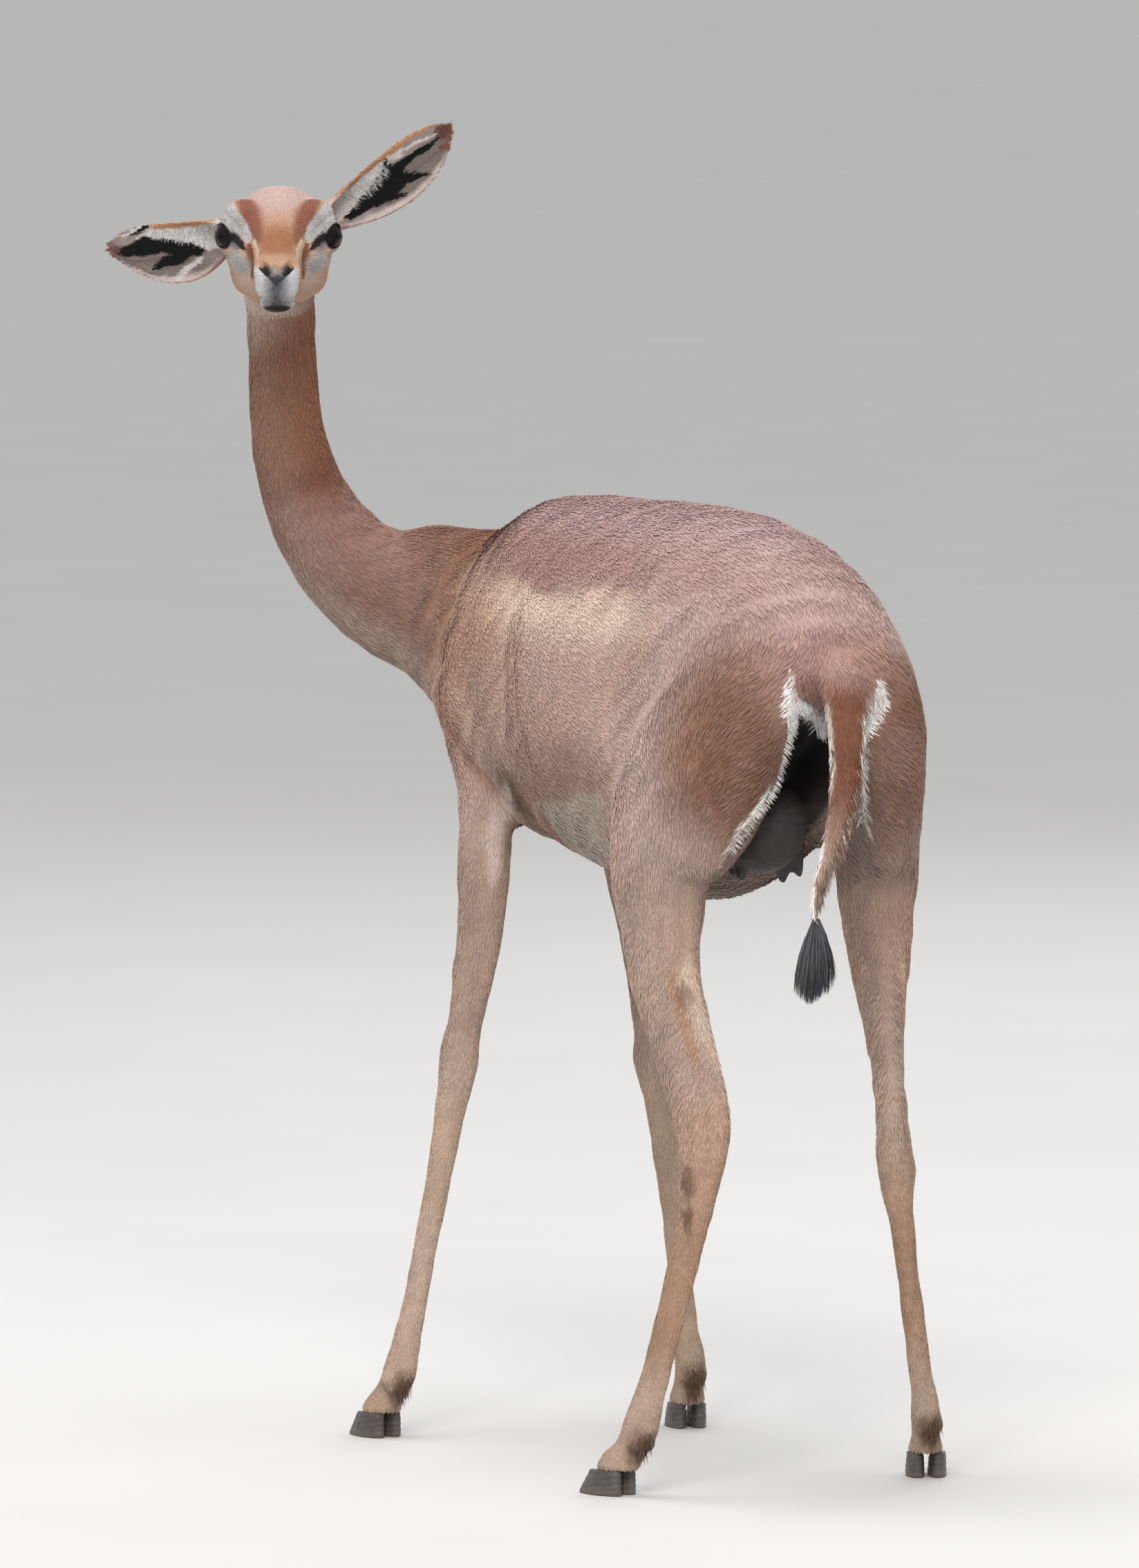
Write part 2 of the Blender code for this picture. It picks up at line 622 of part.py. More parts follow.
def lens_cutter(centre, axis, tilt):
    """Almond prism that opens the lids in front of the eyeball."""
    long_way = (tilt - axis * tilt.dot(axis)).normalized()
    high_way = axis.cross(long_way)
    rings = []
    for out, scale in ((0.35, 0.72), (0.80, 0.92), (1.10, 1.05), (1.60, 1.30)):
        points = []
        for k in range(20):
            a = 2 * math.pi * k / 20
            u = math.cos(a)
            v = math.sin(a) * (1 - 0.28 * u * u)
            points.append(
                centre
                + axis * (EYE_RADIUS * out)
                + long_way * (OPENING[0] * scale * u)
                + high_way * (OPENING[1] * scale * v)
            )
        rings.append(points)
    return loft("lids", rings)


def hoof_rings(side):
    """One digit in the foot's frame: x to its outer side, y ahead, z up."""
    rings = []
    for height, length, half, back in HOOF:
        points = []
        for k in range(14):
            a = 2 * math.pi * (k + 0.5) / 14
            s = math.sin(a)
            taper = 1 - 0.5 * max(0.0, s) ** 2
            x = half * math.cos(a) * taper
            x = max(x, -half * 0.82)
            points.append(Vector(((HOOF_APART + x) * side, length / 2 * s - back, height)))
        rings.append(points)
    return rings


def foot_frame(rows, heading):
    """Stands a foot's frame on the ground under the end of a leg."""
    x, y = rows[-1][:2]
    turn = Matrix.Rotation(math.radians(heading) + math.pi, 4, "Z")
    return Matrix.Translation((x, y, 0)) @ turn


def shape_body(obj):
    """Shoulder blades, hips, ribs, flanks and the fold before each thigh."""
    co = points_of(obj)
    for side, hip in ((1, 0.0), (-1, -0.045)):
        across = side
        co = push(co, (0.095 * side, -0.215, 0.800), (0.05, 0.050, 0.075), (0.007 * across, 0, 0))
        co = push(co, (0.060 * side, -0.175, 0.905), (0.04, 0.040, 0.040), (0.005 * across, 0, 0.002))
        co = push(co, (0.120 * side, -0.125, 0.760), (0.05, 0.028, 0.085), (-0.006 * across, 0, 0))
        co = push(co, (0.135 * side, -0.020, 0.720), (0.06, 0.090, 0.080), (0.004 * across, 0, 0))
        co = push(co, (hip + 0.075 * side, 0.150, 0.898), (0.03, 0.035, 0.030), (0.005 * across, 0, 0.003))
        co = push(co, (hip * 0.7 + 0.120 * side, 0.105, 0.800), (0.05, 0.045, 0.070), (-0.008 * across, 0, 0))
        co = push(co, (hip * 0.7 + 0.105 * side, 0.060, 0.640), (0.05, 0.040, 0.050), (-0.007 * across, 0, 0.004))
        co = push(co, (hip + 0.090 * side, 0.250, 0.770), (0.05, 0.070, 0.080), (0.005 * across, 0, 0))
        co = push(co, (0.068 * side, -0.360, 0.725), (0.045, 0.060, 0.040), (0.011 * across, -0.007, -0.004))
    valley = np.exp(-(((co[:, 0] + 0.022) / 0.024) ** 2) - ((co[:, 2] - 0.690) / 0.095) ** 2)
    co[:, 1] -= 0.048 * valley * ease(0.20, 0.31, co[:, 1])
    move_points(obj, co)


def shape_head(obj):
    """Brow, cheeks, lips, mouth line and nostrils in the head's own frame."""
    co = points_of(obj)
    for side in (-1, 1):
        co = push(co, (0.030 * side, 0.152, 0.004), (0.012, 0.030, 0.014), (-0.0035 * side, 0, 0))
        co = push(co, (0.040 * side, 0.085, -0.026), (0.016, 0.030, 0.018), (0.003 * side, 0, 0))
        co = push(co, (0.020 * side, 0.214, 0.012), (0.008, 0.012, 0.009), (0.0020 * side, 0.0010, 0))
        co = push(co, (0.021 * side, 0.206, -0.018), (0.008, 0.018, 0.007), (0.0022 * side, 0.0010, 0))
        co = push(co, (0.012 * side, 0.075, 0.064), (0.012, 0.016, 0.012), (0, 0, 0.0025))
    move_points(obj, co)
    co, normals = points_of(obj), normals_of(obj)
    for side in (-1, 1):
        mouth = [(0.0 * side, 0.236, -0.026), (0.012 * side, 0.228, -0.026), (0.020 * side, 0.208, -0.0245)]
        mouth += [(0.022 * side, 0.188, -0.0225), (0.024 * side, 0.172, -0.0185)]
        co = groove(co, normals, mouth, 0.0022, 0.0030)
        nostril = [(0.0078 * side, 0.233, 0.0090), (0.0115 * side, 0.229, 0.0130), (0.0160 * side, 0.221, 0.0150)]
        co = groove(co, normals, nostril, 0.0030, 0.0058)
        rim = [(0.0070 * side, 0.229, 0.0165), (0.0125 * side, 0.225, 0.0195), (0.0185 * side, 0.214, 0.0190)]
        co = groove(co, normals, rim, 0.0030, -0.0012)
    co = groove(co, normals, [(0, 0.237, 0.006), (0, 0.236, -0.010), (0, 0.232, -0.024)], 0.0014, 0.0012)
    move_points(obj, co)


def between(rows, share):
    """One row read at a share, 0 to 1, of the way along."""
    place = min(max(share, 0.0), 1.0) * (len(rows) - 1)
    low = min(int(place), len(rows) - 2)
    return rows[low] + (rows[low + 1] - rows[low]) * (place - low)


def brush_flesh():
    """Slim core with flat tapered locks that overlap and reach the brush's outline at their tips."""
    path = catmull(TUFT, 6)
    core = [(x, y, z, half * TUFT_CORE, deep * TUFT_CORE) for x, y, z, half, deep in TUFT[:5]]
    core[0] = TUFT[0]
    brush = loft("tail_tuft", limb_rings(core, count=10, steps=2))
    draw = random.Random(11)
    locks = []
    for k in range(LOCKS):
        turn = 2.39996 * k + draw.uniform(-0.2, 0.2)
        start = 0.06 + 0.54 * k / LOCKS
        length = draw.uniform(0.40, 0.46)
        rings = []
        for place, wide in LOCK_SHAPE:
            x, y, z, half, deep = between(path, start + length * place)
            reach = 0.30 + 0.62 * place
            radial = Vector((math.cos(turn), math.sin(turn), 0))
            tangent = Vector((-math.sin(turn), math.cos(turn), 0))
            centre = Vector((x + radial.x * half * reach, y + radial.y * deep * reach, z))
            across, thick = tangent * (LOCK_HALF[0] * wide), radial * (LOCK_HALF[1] * wide)
            rings.append([centre + across, centre + thick, centre - across, centre - thick])
        locks.append(loft("lock", rings))
    return united(brush, locks)


def dewclaw(side, back):
    """One of the two small hooves behind the pastern, in the foot's frame."""
    rows = [(side * DEWCLAW_APART, back + ahead, z, half, half) for ahead, z, half in DEWCLAW]
    return loft("dewclaw", limb_rings(rows, count=8, steps=1))


def udder_flesh():
    """Soft bag with four teats."""
    pieces = [ball("bag", UDDER_AT, UDDER_RADII, segments=20, rings=14)]
    for x, y, z in TEATS:
        root = Vector((x * 0.9 + UDDER_AT.x * 0.1, y, z + 0.030))
        tip = Vector((x, y, z))
        rows = [(*root.lerp(tip, t), w, w) for t, w in ((0, 0.0085), (0.4, 0.0072), (0.75, 0.0062), (1.0, 0.0030))]
        pieces.append(loft("teat", limb_rings(rows, count=10, steps=2)))
    bag = joined("bag", pieces)
    modified(bag, "REMESH", mode="VOXEL", voxel_size=0.003)
    soften(bag, 4, np.ones(len(bag.data.vertices)))
    return thinned(bag, 420)


def painted(obj, name, colour, rough):
    """Names a node, gives it its own material and smooth shading."""
    obj.name = name
    obj.data.name = name
    material = bpy.data.materials.new(name)
    material.use_nodes = True
    shader = material.node_tree.nodes["Principled BSDF"]
    shader.inputs["Base Color"].default_value = (*colour, 1)
    shader.inputs["Roughness"].default_value = rough
    material.diffuse_color = (*colour, 1)
    obj.data.materials.clear()
    obj.data.materials.append(material)
    obj.data.shade_smooth()
    obj.data.set_sharp_from_angle(angle=math.radians(50))
    return obj


def split_leg(body, rows, inner, name, joint):
    """Takes one leg off the body and parts it at its middle joint."""
    leg = copy_of(body, name)
    combined(leg, loft("keep", sleeve(rows, 0.0, inner)), "INTERSECT")
    combined(body, loft("take", sleeve(rows, GAP, inner)), "DIFFERENCE")
    clipped(leg, (0, 0, rows[0][2] - GAP), (0, 0, 1))
    clipped(leg, (0, 0, COLLAR), (0, 0, -1))
    largest_body(leg)
    lower = copy_of(leg, name + "_lower")
    clipped(leg, (0, 0, joint + GAP), (0, 0, -1))
    clipped(lower, (0, 0, joint), (0, 0, 1))
    return largest_body(leg), largest_body(lower)


def build_head(frame):
    """Head, ears and eyes in the world, each a closed surface."""
    head = head_flesh(frame)
    shape_head(head)
    thinned(head, HEAD_TRIANGLES)
    room = swollen(head, "room", GAP)
    ears = {}
    for name, side, turn in (("ear_left", -1, EAR_LEFT), ("ear_right", 1, EAR_RIGHT)):
        ear = loft(name, ear_rings(side, turn))
        combined(ear, copy_of(room, "shell"), "DIFFERENCE")
        ears[name] = largest_body(ear)
    bpy.data.objects.remove(room)
    eyes = {}
    for name, side in (("eye_left", -1), ("eye_right", 1)):
        centre = Vector((EYE_AT.x * side, EYE_AT.y, EYE_AT.z))
        axis = Vector((EYE_FACES.x * side, EYE_FACES.y, EYE_FACES.z)).normalized()
        tilt = Vector((0, 1, -0.30))
        combined(head, ball("socket", centre, [EYE_RADIUS + GAP] * 3, segments=18, rings=11), "DIFFERENCE")
        combined(head, lens_cutter(centre, axis, tilt), "DIFFERENCE")
        eyes[name] = ball(name, centre, [EYE_RADIUS] * 3, segments=18, rings=11)
    point, normal = Vector(HEAD_CUT[0]), Vector(HEAD_CUT[1]).normalized()
    clipped(head, point, normal)
    nodes = {"head": largest_body(head), **ears, **eyes}
    for obj in nodes.values():
        obj.data.transform(frame)
    return nodes


def build_body(frame):
    """Torso, neck, legs, tail, brush and udder."""
    body = body_flesh()
    shape_body(body)
    thinned(body, BODY_TRIANGLES)
    room = swollen(body, "room", GAP)
    tail = loft("tail", limb_rings(TAIL, count=14, steps=2))
    combined(tail, copy_of(room, "shell"), "DIFFERENCE")
    clipped(tail, (0, 0, TAIL_END), (0, 0, -1))
    brush = brush_flesh()
    clipped(brush, (0, 0, TAIL_END - GAP), (0, 0, 1))
    udder = combined(udder_flesh(), room, "DIFFERENCE")
    nodes = {"tail": largest_body(tail), "tail_tuft": largest_body(brush), "udder": largest_body(udder)}

    legs = (
        ("fore_left", FORELEG_LEFT, 4, FORE_INNER, "forearm", KNEE),
        ("fore_right", FORELEG_RIGHT, 4, FORE_INNER, "forearm", KNEE),
        ("hind_left", HIND_LEG_LEFT, 3, HIND_INNER, "thigh", HOCK),
        ("hind_right", HIND_LEG_RIGHT, 3, HIND_INNER, "thigh", HOCK),
    )
    for name, rows, first, inner, upper, joint in legs:
        leg, cannon = split_leg(body, rows[first:], inner, name, joint)
        place = foot_frame(rows, HEADING[name])
        claws = [dewclaw(side, DEWCLAW_BACK[name[:4]]) for side in (-1, 1)]
        for claw in claws:
            claw.data.transform(place)
        united(cannon, claws)
        nodes[name + "_" + upper] = leg
        nodes[name + "_cannon"] = largest_body(cannon)
        for digit, side in (("hoof_inner", -1), ("hoof_outer", 1)):
            side *= 1 if name.endswith("left") else -1
            hoof = loft(digit, hoof_rings(-side))
            hoof.data.transform(place)
            nodes[name + "_" + digit] = hoof

    point, normal = Vector(NECK_BASE[0]), Vector(NECK_BASE[1]).normalized()
    neck = copy_of(body, "neck")
    clipped(neck, point + normal * GAP, -normal)
    largest_body(neck)
    clipped(body, point, normal)
    top, up = frame @ Vector(HEAD_CUT[0]), (frame.to_3x3() @ Vector(HEAD_CUT[1])).normalized()
    clipped(neck, top + up * GAP, -up)
    largest_body(neck)
    middle, along = Vector(NECK_MIDDLE[0]), Vector(NECK_MIDDLE[1]).normalized()
    upper = copy_of(neck, "neck_upper")
    clipped(upper, middle + along * GAP, -along)
    clipped(neck, middle, along)
    nodes.update(torso=largest_body(body), neck_lower=largest_body(neck), neck_upper=largest_body(upper))
    return nodes


def colour_of(name):
    if "hoof" in name:
        return HORN, 0.45
    if name.startswith("eye"):
        return EYE, 0.08
    if name == "udder":
        return UDDER, 0.6
    if name == "tail_tuft":
        return BRUSH, 0.9
    return COAT, 0.85


def build():
    for obj in list(bpy.data.objects):
        bpy.data.objects.remove(obj)
    frame = head_frame()
    nodes = {**build_body(frame), **build_head(frame)}
    every = np.vstack([points_of(obj) for obj in nodes.values()])
    low, high = every.min(axis=0), every.max(axis=0)
    shift = Vector((-(low[0] + high[0]) / 2, -(low[1] + high[1]) / 2, -low[2]))
    for name, obj in nodes.items():
        obj.data.transform(Matrix.Translation(shift))
        painted(obj, name, *colour_of(name))
    return nodes, shift


build()
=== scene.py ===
"""Looks of a standing female gerenuk: one skin over the solids, short fur, fringes, eyes, hooves and udder.

Metres, +Z up, the animal faces -Y with its left side at +X. Places on the body are written in the plan's own
numbers, which differ from the model's by PLAN. Places on the head use the head's frame: right, ahead, up.
"""

import math

import bmesh
import bpy
import numpy as np
from mathutils import Matrix, Vector
from mathutils.bvhtree import BVHTree


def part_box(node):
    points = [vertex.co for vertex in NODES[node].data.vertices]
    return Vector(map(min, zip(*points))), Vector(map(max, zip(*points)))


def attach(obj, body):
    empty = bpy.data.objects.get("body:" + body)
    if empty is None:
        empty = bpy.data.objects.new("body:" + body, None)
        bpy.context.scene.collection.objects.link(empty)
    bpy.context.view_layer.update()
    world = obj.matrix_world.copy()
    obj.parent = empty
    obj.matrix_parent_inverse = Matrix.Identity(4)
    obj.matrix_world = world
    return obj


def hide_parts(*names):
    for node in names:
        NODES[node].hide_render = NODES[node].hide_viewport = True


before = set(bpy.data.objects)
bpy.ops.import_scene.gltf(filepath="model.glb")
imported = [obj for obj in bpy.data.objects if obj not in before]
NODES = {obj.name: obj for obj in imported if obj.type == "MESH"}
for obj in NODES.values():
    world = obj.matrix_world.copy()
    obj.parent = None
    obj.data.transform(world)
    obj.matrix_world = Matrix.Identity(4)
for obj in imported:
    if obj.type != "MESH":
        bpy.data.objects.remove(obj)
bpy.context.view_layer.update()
RIGID = "root"

# Camera: 16 m away, 25.5 degrees left of straight behind and a little above.
CAMERA_AT = Vector((6.91959, 14.31418, 1.91547))
CAMERA_AIM = Vector((0.05265, -0.08267, 0.66012))
LENS = 375.873
SENSOR_WIDTH = 36
CAMERA_REACH = 400

HEAD_AT = Vector((0.192, -0.456, 1.185))
HEAD_TURN = math.radians(154.5)
HEAD_NOD = math.radians(8.5)
EYE_AT = Vector((0.046, 0.108, 0.0205))
EYE_RADIUS = 0.0165
EYE_FACES = Vector((0.8, 0.58, 0.06)).normalized()
OPENING = (0.0162, 0.0138)
EAR_BASE = Vector((0.04, 0.04, 0.028))
EAR_ROOT = 0.02
EAR_LENGTH = 0.178
EAR_WIDTH = [0.0115, 0.016, 0.0215, 0.027, 0.0308, 0.0318, 0.029, 0.0205, 0.003]
# Along the ear, where its cup faces, how far the blade bows, its width's scale, and lift.
EARS = {
    "ear_right": (1, Vector((0.128, -0.07, -0.04)), Vector((0.05, 1.0, 0.1)), 0.02, 1.0, -0.006),
    "ear_left": (-1, Vector((-0.13, -0.01, 0.0885)), Vector((0.05, 1.0, -0.05)), 0.014, 0.9, 0.0),
}

SPLIT = 1.095  # height where the fine mesh of the head meets the mesh of the body
OVERLAP = 0.03  # how far both meshes run past that height before they are cut
SEAM = 0.0008  # half the gap that is bridged there
HEAD_VOXEL = 0.0016
BODY_VOXEL = 0.0044

# Coat by node: how deep it lies, a tuft's length and width, in metres.
COAT = {
    "torso": (0.002, 0.0125, 0.0018),
    "neck_lower": (0.0018, 0.011, 0.0017),
    "neck_upper": (0.0015, 0.0095, 0.0015),
    "head": (0.0007, 0.005, 0.0012),
    "ear_left": (0.0003, 0.0055, 0.0012),
    "ear_right": (0.0003, 0.0055, 0.0012),
    "tail": (0.0008, 0.011, 0.0014),
    "thigh": (0.0015, 0.01, 0.0017),
    "forearm": (0.0012, 0.0085, 0.0015),
    "cannon": (0.0007, 0.0062, 0.0012),
}
COVER = 1.26  # tuft area laid on each unit of skin

# Colours in linear light. Those of head and ears are set darker than the coat's own, as painted shade over
# the head.
SADDLE = (0.335, 0.195, 0.178)
BAND = (0.69, 0.545, 0.43)
FLANK = (0.475, 0.325, 0.258)
RUMP = (0.462, 0.343, 0.308)
# Darker lower flank above the belly: painted shade where the flank turns under.
LOW_FLANK_SHADE = (0.3, 0.175, 0.132)
# The white belly, painted darker as shade under the body.
BELLY = (0.45, 0.38, 0.32)
NECK = (0.355, 0.262, 0.22)
NAPE = (0.205, 0.095, 0.064)
# Painted shade of the head over the upper neck.
UPPER_NECK_SHADE = (0.185, 0.112, 0.078)
NAPE_RUST = (0.19, 0.072, 0.042)
CREASE_SHADE = (0.23, 0.095, 0.055)
THIGH = (0.195, 0.1, 0.064)
LEG = (0.39, 0.28, 0.224)
SHIN = (0.445, 0.325, 0.245)
WHITE = (0.86, 0.84, 0.8)
BLACK_SKIN = (0.005, 0.0044, 0.005)
SCUFF = (0.12, 0.06, 0.035)
TAIL = (0.19, 0.08, 0.048)
# Pale front of the neck, laid on its lit side: partly the coat, partly painted light.
THROAT = (0.58, 0.46, 0.4)
# Painted light under the chin, against the head's shadow on the pale coat.
UNDER_CHIN_LIGHT = (0.64, 0.53, 0.47)
SHEEN = (0.45, 0.35, 0.355)
CROWN = (0.43, 0.315, 0.272)
RUST = (0.21, 0.08, 0.052)
BRIDGE = (0.275, 0.12, 0.058)
FOREHEAD = (0.4, 0.228, 0.15)
CHEEK = (0.47, 0.295, 0.195)
PALE_CHEEK = (0.5, 0.385, 0.33)
CREAM = (0.52, 0.41, 0.3)
EAR_WHITE = (0.62, 0.605, 0.585)
# The face's white hair, painted grey as shade over the head.
SHADED_FACE_WHITE = (0.39, 0.378, 0.368)
MUZZLE = (0.48, 0.48, 0.49)
NOSE = (0.03, 0.028, 0.032)
STRIPE = (0.135, 0.042, 0.02)
EAR_BACK = (0.4, 0.21, 0.11)
EAR_TIP = (0.185, 0.08, 0.05)
EAR_SKIN = (0.275, 0.225, 0.205)
HORN = (0.07, 0.06, 0.054)
UDDER = (0.018, 0.0112, 0.0098)
BRUSH = (0.088, 0.083, 0.094)
BRUSH_TIP = (0.105, 0.1, 0.112)
# Painted shadow at the base of the neck.
NECK_BASE_SHADE = (0.165, 0.085, 0.06)
# Painted shade along the border of neck and shoulder.
SHOULDER_EDGE_SHADE = (0.27, 0.125, 0.062)
# Painted shade where the forelegs join the chest and under the chest.
ARMPIT_SHADE = (0.14, 0.082, 0.058)
TAIL_ROOT = (0.32, 0.165, 0.135)
# Painted shade on the inner right thigh, in the cleft between the thighs.
THIGH_CLEFT_SHADE = (0.13, 0.095, 0.082)
FAR_THIGH = (0.245, 0.14, 0.105)
# Painted shade in the groin between the hind legs, under the udder.
GROIN_SHADE = (0.13, 0.082, 0.066)
CANNON = (0.31, 0.165, 0.095)
WARM = (0.44, 0.215, 0.13)
COOL = (0.54, 0.42, 0.39)
INNER_STREAK = (0.66, 0.53, 0.48)
# Painted highlight along the ridge of the hind shank.
SHANK_HIGHLIGHT = (0.62, 0.5, 0.38)
SHANK_SHADE = (0.36, 0.18, 0.085)
DEWCLAWS = (0.085, 0.045, 0.03)
POLL = (0.3, 0.25, 0.24)
UPPER_LIP = (0.58, 0.58, 0.58)
LIP_SHADE = (0.032, 0.034, 0.04)
JAW = (0.46, 0.36, 0.3)
NOSE_BACK = (0.3, 0.25, 0.21)
NOSE_PAD = (0.034, 0.034, 0.04)
NOSTRIL_DARK = (0.006, 0.005, 0.006)
LIP_DARK = (0.02, 0.009, 0.01)
TEAR_SHADE = (0.1, 0.09, 0.095)
TEAR_DARK = (0.012, 0.01, 0.013)
LID_DARK = (0.008, 0.006, 0.008)
EAR_BLADE = (0.15, 0.122, 0.108)
EAR_DENT = (0.21, 0.175, 0.15)
EAR_LOW_EDGE = (0.5, 0.43, 0.4)
EAR_LOW_RIM = (0.42, 0.22, 0.14)
EAR_HAIR_ROOT = (0.5, 0.46, 0.44)
EAR_HAIR_TIP = (0.7, 0.69, 0.67)
EAR_PATCH = (0.56, 0.52, 0.5)
EAR_CUP = (0.004, 0.0035, 0.0045)
EAR_MARGIN = (0.4, 0.215, 0.125)
TIP_MIDDLE = (0.07, 0.034, 0.03)


def head_frame():
    level = Vector((math.sin(HEAD_TURN), -math.cos(HEAD_TURN), 0))
    right = level.cross(Vector((0, 0, 1)))
    ahead = level * math.cos(HEAD_NOD) - Vector((0, 0, math.sin(HEAD_NOD)))
    turn = Matrix((right, ahead, right.cross(ahead))).transposed()
    return Matrix.Translation(HEAD_AT) @ turn.to_4x4()


def middle_of(node):
    low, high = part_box(node)
    return (low + high) / 2


def sided(vector, side):
    """A vector in the head's frame, mirrored to the left where side is -1."""
    return Vector((vector.x * side, vector.y, vector.z))


HEAD = head_frame()
PLAN = middle_of("eye_left") - HEAD @ sided(EYE_AT, -1)
PLAN.z = 0.0
OFFSET = np.array(PLAN)
HEAD_TURNED = np.array(HEAD.to_3x3())
HEAD_PLACE = np.array(HEAD_AT)


def linked(name, data):
    """A new object of the scene."""
    obj = bpy.data.objects.new(name, data)
    bpy.context.scene.collection.objects.link(obj)
    return obj


def add_camera():
    camera = bpy.data.cameras.new("camera")
    camera.lens = LENS
    camera.sensor_width = SENSOR_WIDTH
    camera.clip_end = CAMERA_REACH
    obj = linked("camera", camera)
    obj.location = CAMERA_AT + PLAN
    obj.rotation_euler = (CAMERA_AIM - CAMERA_AT).to_track_quat("-Z", "Y").to_euler()
    bpy.context.scene.camera = obj


add_camera()


def ease(low, high, value):
    """0 below low, 1 above high and smooth between."""
    t = np.clip((value - low) / (high - low), 0, 1)
    return t * t * (3 - 2 * t)


def fade(low, high, value):
    """1 below low, 0 above high and smooth between."""
    return 1 - ease(low, high, value)


def catmull(rows, steps):
    """Points along a smooth curve through the rows, steps to each span."""
    data = np.array(rows, float)
    padded = np.vstack([2 * data[0] - data[1], data, 2 * data[-1] - data[-2]])
    out = []
    for i in range(len(data) - 1):
        p0, p1, p2, p3 = padded[i : i + 4]
        for t in np.arange(steps) / steps:
            line = 2 * p1 + (p2 - p0) * t
            line = line + (2 * p0 - 5 * p1 + 4 * p2 - p3) * t**2
            out.append(0.5 * (line + (3 * p1 - p0 - 3 * p2 + p3) * t**3))
    out.append(data[-1])
    return np.array(out)


def unit(v):
    return v / np.maximum(np.linalg.norm(v, axis=-1, keepdims=True), 1e-9)


def lattice(cell, seed):
    """A repeatable random number, 0 to 1, for each whole-number place."""
    n = cell[:, 0] * 374761393 + cell[:, 1] * 668265263 + cell[:, 2] * 2147483647 + seed * 974634777
    n = (n ^ (n >> 13)) * 1274126177
    n = n ^ (n >> 16)
    return (n & 0xFFFFFF) / 0xFFFFFF


def noise(co, size, seed=0):
    """Smooth noise from -1 to 1 whose lumps measure about size."""
    place = co / size
    low = np.floor(place).astype(np.int64)
    t = place - low
    t = t * t * (3 - 2 * t)
    total = np.zeros(len(co))
    for corner in range(8):
        step = np.array([corner & 1, (corner >> 1) & 1, (corner >> 2) & 1])
        share = np.where(step, t, 1 - t).prod(axis=1)
        total += share * lattice(low + step, seed)
    return total * 2 - 1


def mesh_from(name, co, triangles, smooth=True):
    """A mesh object from arrays of points and triangles."""
    mesh = bpy.data.meshes.new(name)
    mesh.vertices.add(len(co))
    mesh.loops.add(len(triangles) * 3)
    mesh.polygons.add(len(triangles))
    mesh.vertices.foreach_set("co", np.asarray(co, np.float32).ravel())
    mesh.loops.foreach_set("vertex_index", np.asarray(triangles, np.int32).ravel())
    mesh.polygons.foreach_set("loop_start", np.arange(0, len(triangles) * 3, 3, dtype=np.int32))
    mesh.update(calc_edges=True)
    if smooth:
        mesh.shade_smooth()
    else:
        mesh.shade_flat()
    return linked(name, mesh)


def points_of(obj):
    co = np.empty(len(obj.data.vertices) * 3)
    obj.data.vertices.foreach_get("co", co)
    return co.reshape(-1, 3)


def normals_of(obj):
    values = np.empty(len(obj.data.vertices) * 3)
    obj.data.vertex_normals.foreach_get("vector", values)
    return values.reshape(-1, 3)


def move_points(obj, co):
    obj.data.vertices.foreach_set("co", np.ascontiguousarray(co).ravel())
    obj.data.update()


def edges_of(obj):
    pairs = np.empty(len(obj.data.edges) * 2, np.int32)
    obj.data.edges.foreach_get("vertices", pairs)
    return pairs.reshape(-1, 2)


def triangles_of(obj):
    obj.data.calc_loop_triangles()
    corners = np.empty(len(obj.data.loop_triangles) * 3, np.int32)
    obj.data.loop_triangles.foreach_get("vertices", corners)
    return corners.reshape(-1, 3)


def spread(values, edges, rounds, shares=(0.5,)):
    """Evens out numbers over a mesh. In each round they move by each share towards their neighbours' mean."""
    count = len(values)
    a, b = edges.T
    degree = np.maximum(np.bincount(a, minlength=count) + np.bincount(b, minlength=count), 1)
    values = values.copy()
    for share in shares * rounds:
        for j in range(values.shape[1]):
            column = values[:, j]
            total = np.bincount(a, column[b], count) + np.bincount(b, column[a], count)
            values[:, j] = column + share * (total / degree - column)
    return values


def from_bmesh(name, bm):
    mesh = bpy.data.meshes.new(name)
    bm.to_mesh(mesh)
    bm.free()
    return linked(name, mesh)


def merged(name, names):
    """The named CAD nodes as one welded mesh."""
    bm = bmesh.new()
    for node in names:
        bm.from_mesh(NODES[node].data)
    bmesh.ops.remove_doubles(bm, verts=bm.verts, dist=1e-5)
    return from_bmesh(name, bm)


def remeshed(obj, voxel, rounds):
    """The object with its mesh rebuilt from even cells and evened out without shrinking."""
    modifier = obj.modifiers.new("Remesh", "REMESH")
    modifier.mode = "VOXEL"
    modifier.voxel_size = voxel
    bpy.context.view_layer.update()
    mesh = bpy.data.meshes.new_from_object(obj.evaluated_get(bpy.context.evaluated_depsgraph_get()))
    obj.modifiers.clear()
    obj.data = mesh
    move_points(obj, spread(points_of(obj), edges_of(obj), rounds, (0.5, -0.52)))
    return obj


def clipped(obj, height, keep_above, cap=True):
    """Cuts the mesh level at a height."""
    bm = bmesh.new()
    bm.from_mesh(obj.data)
    geometry = bm.verts[:] + bm.edges[:] + bm.faces[:]
    facing = (0, 0, -1 if keep_above else 1)
    level = {"plane_co": (0, 0, height), "plane_no": facing}
    cut = bmesh.ops.bisect_plane(bm, geom=geometry, clear_outer=True, **level)
    if cap:
        edges = [e for e in cut["geom_cut"] if isinstance(e, bmesh.types.BMEdge) and e.is_boundary]
        bmesh.ops.edgeloop_fill(bm, edges=edges)
    bmesh.ops.recalc_face_normals(bm, faces=bm.faces)
    bm.to_mesh(obj.data)
    bm.free()
    return obj


def in_head(plan):
    """Plan points in the head's frame."""
    return (plan - HEAD_PLACE) @ HEAD_TURNED


def from_head(head):
    """Points of the head's frame as plan points."""
    return head @ HEAD_TURNED.T + HEAD_PLACE


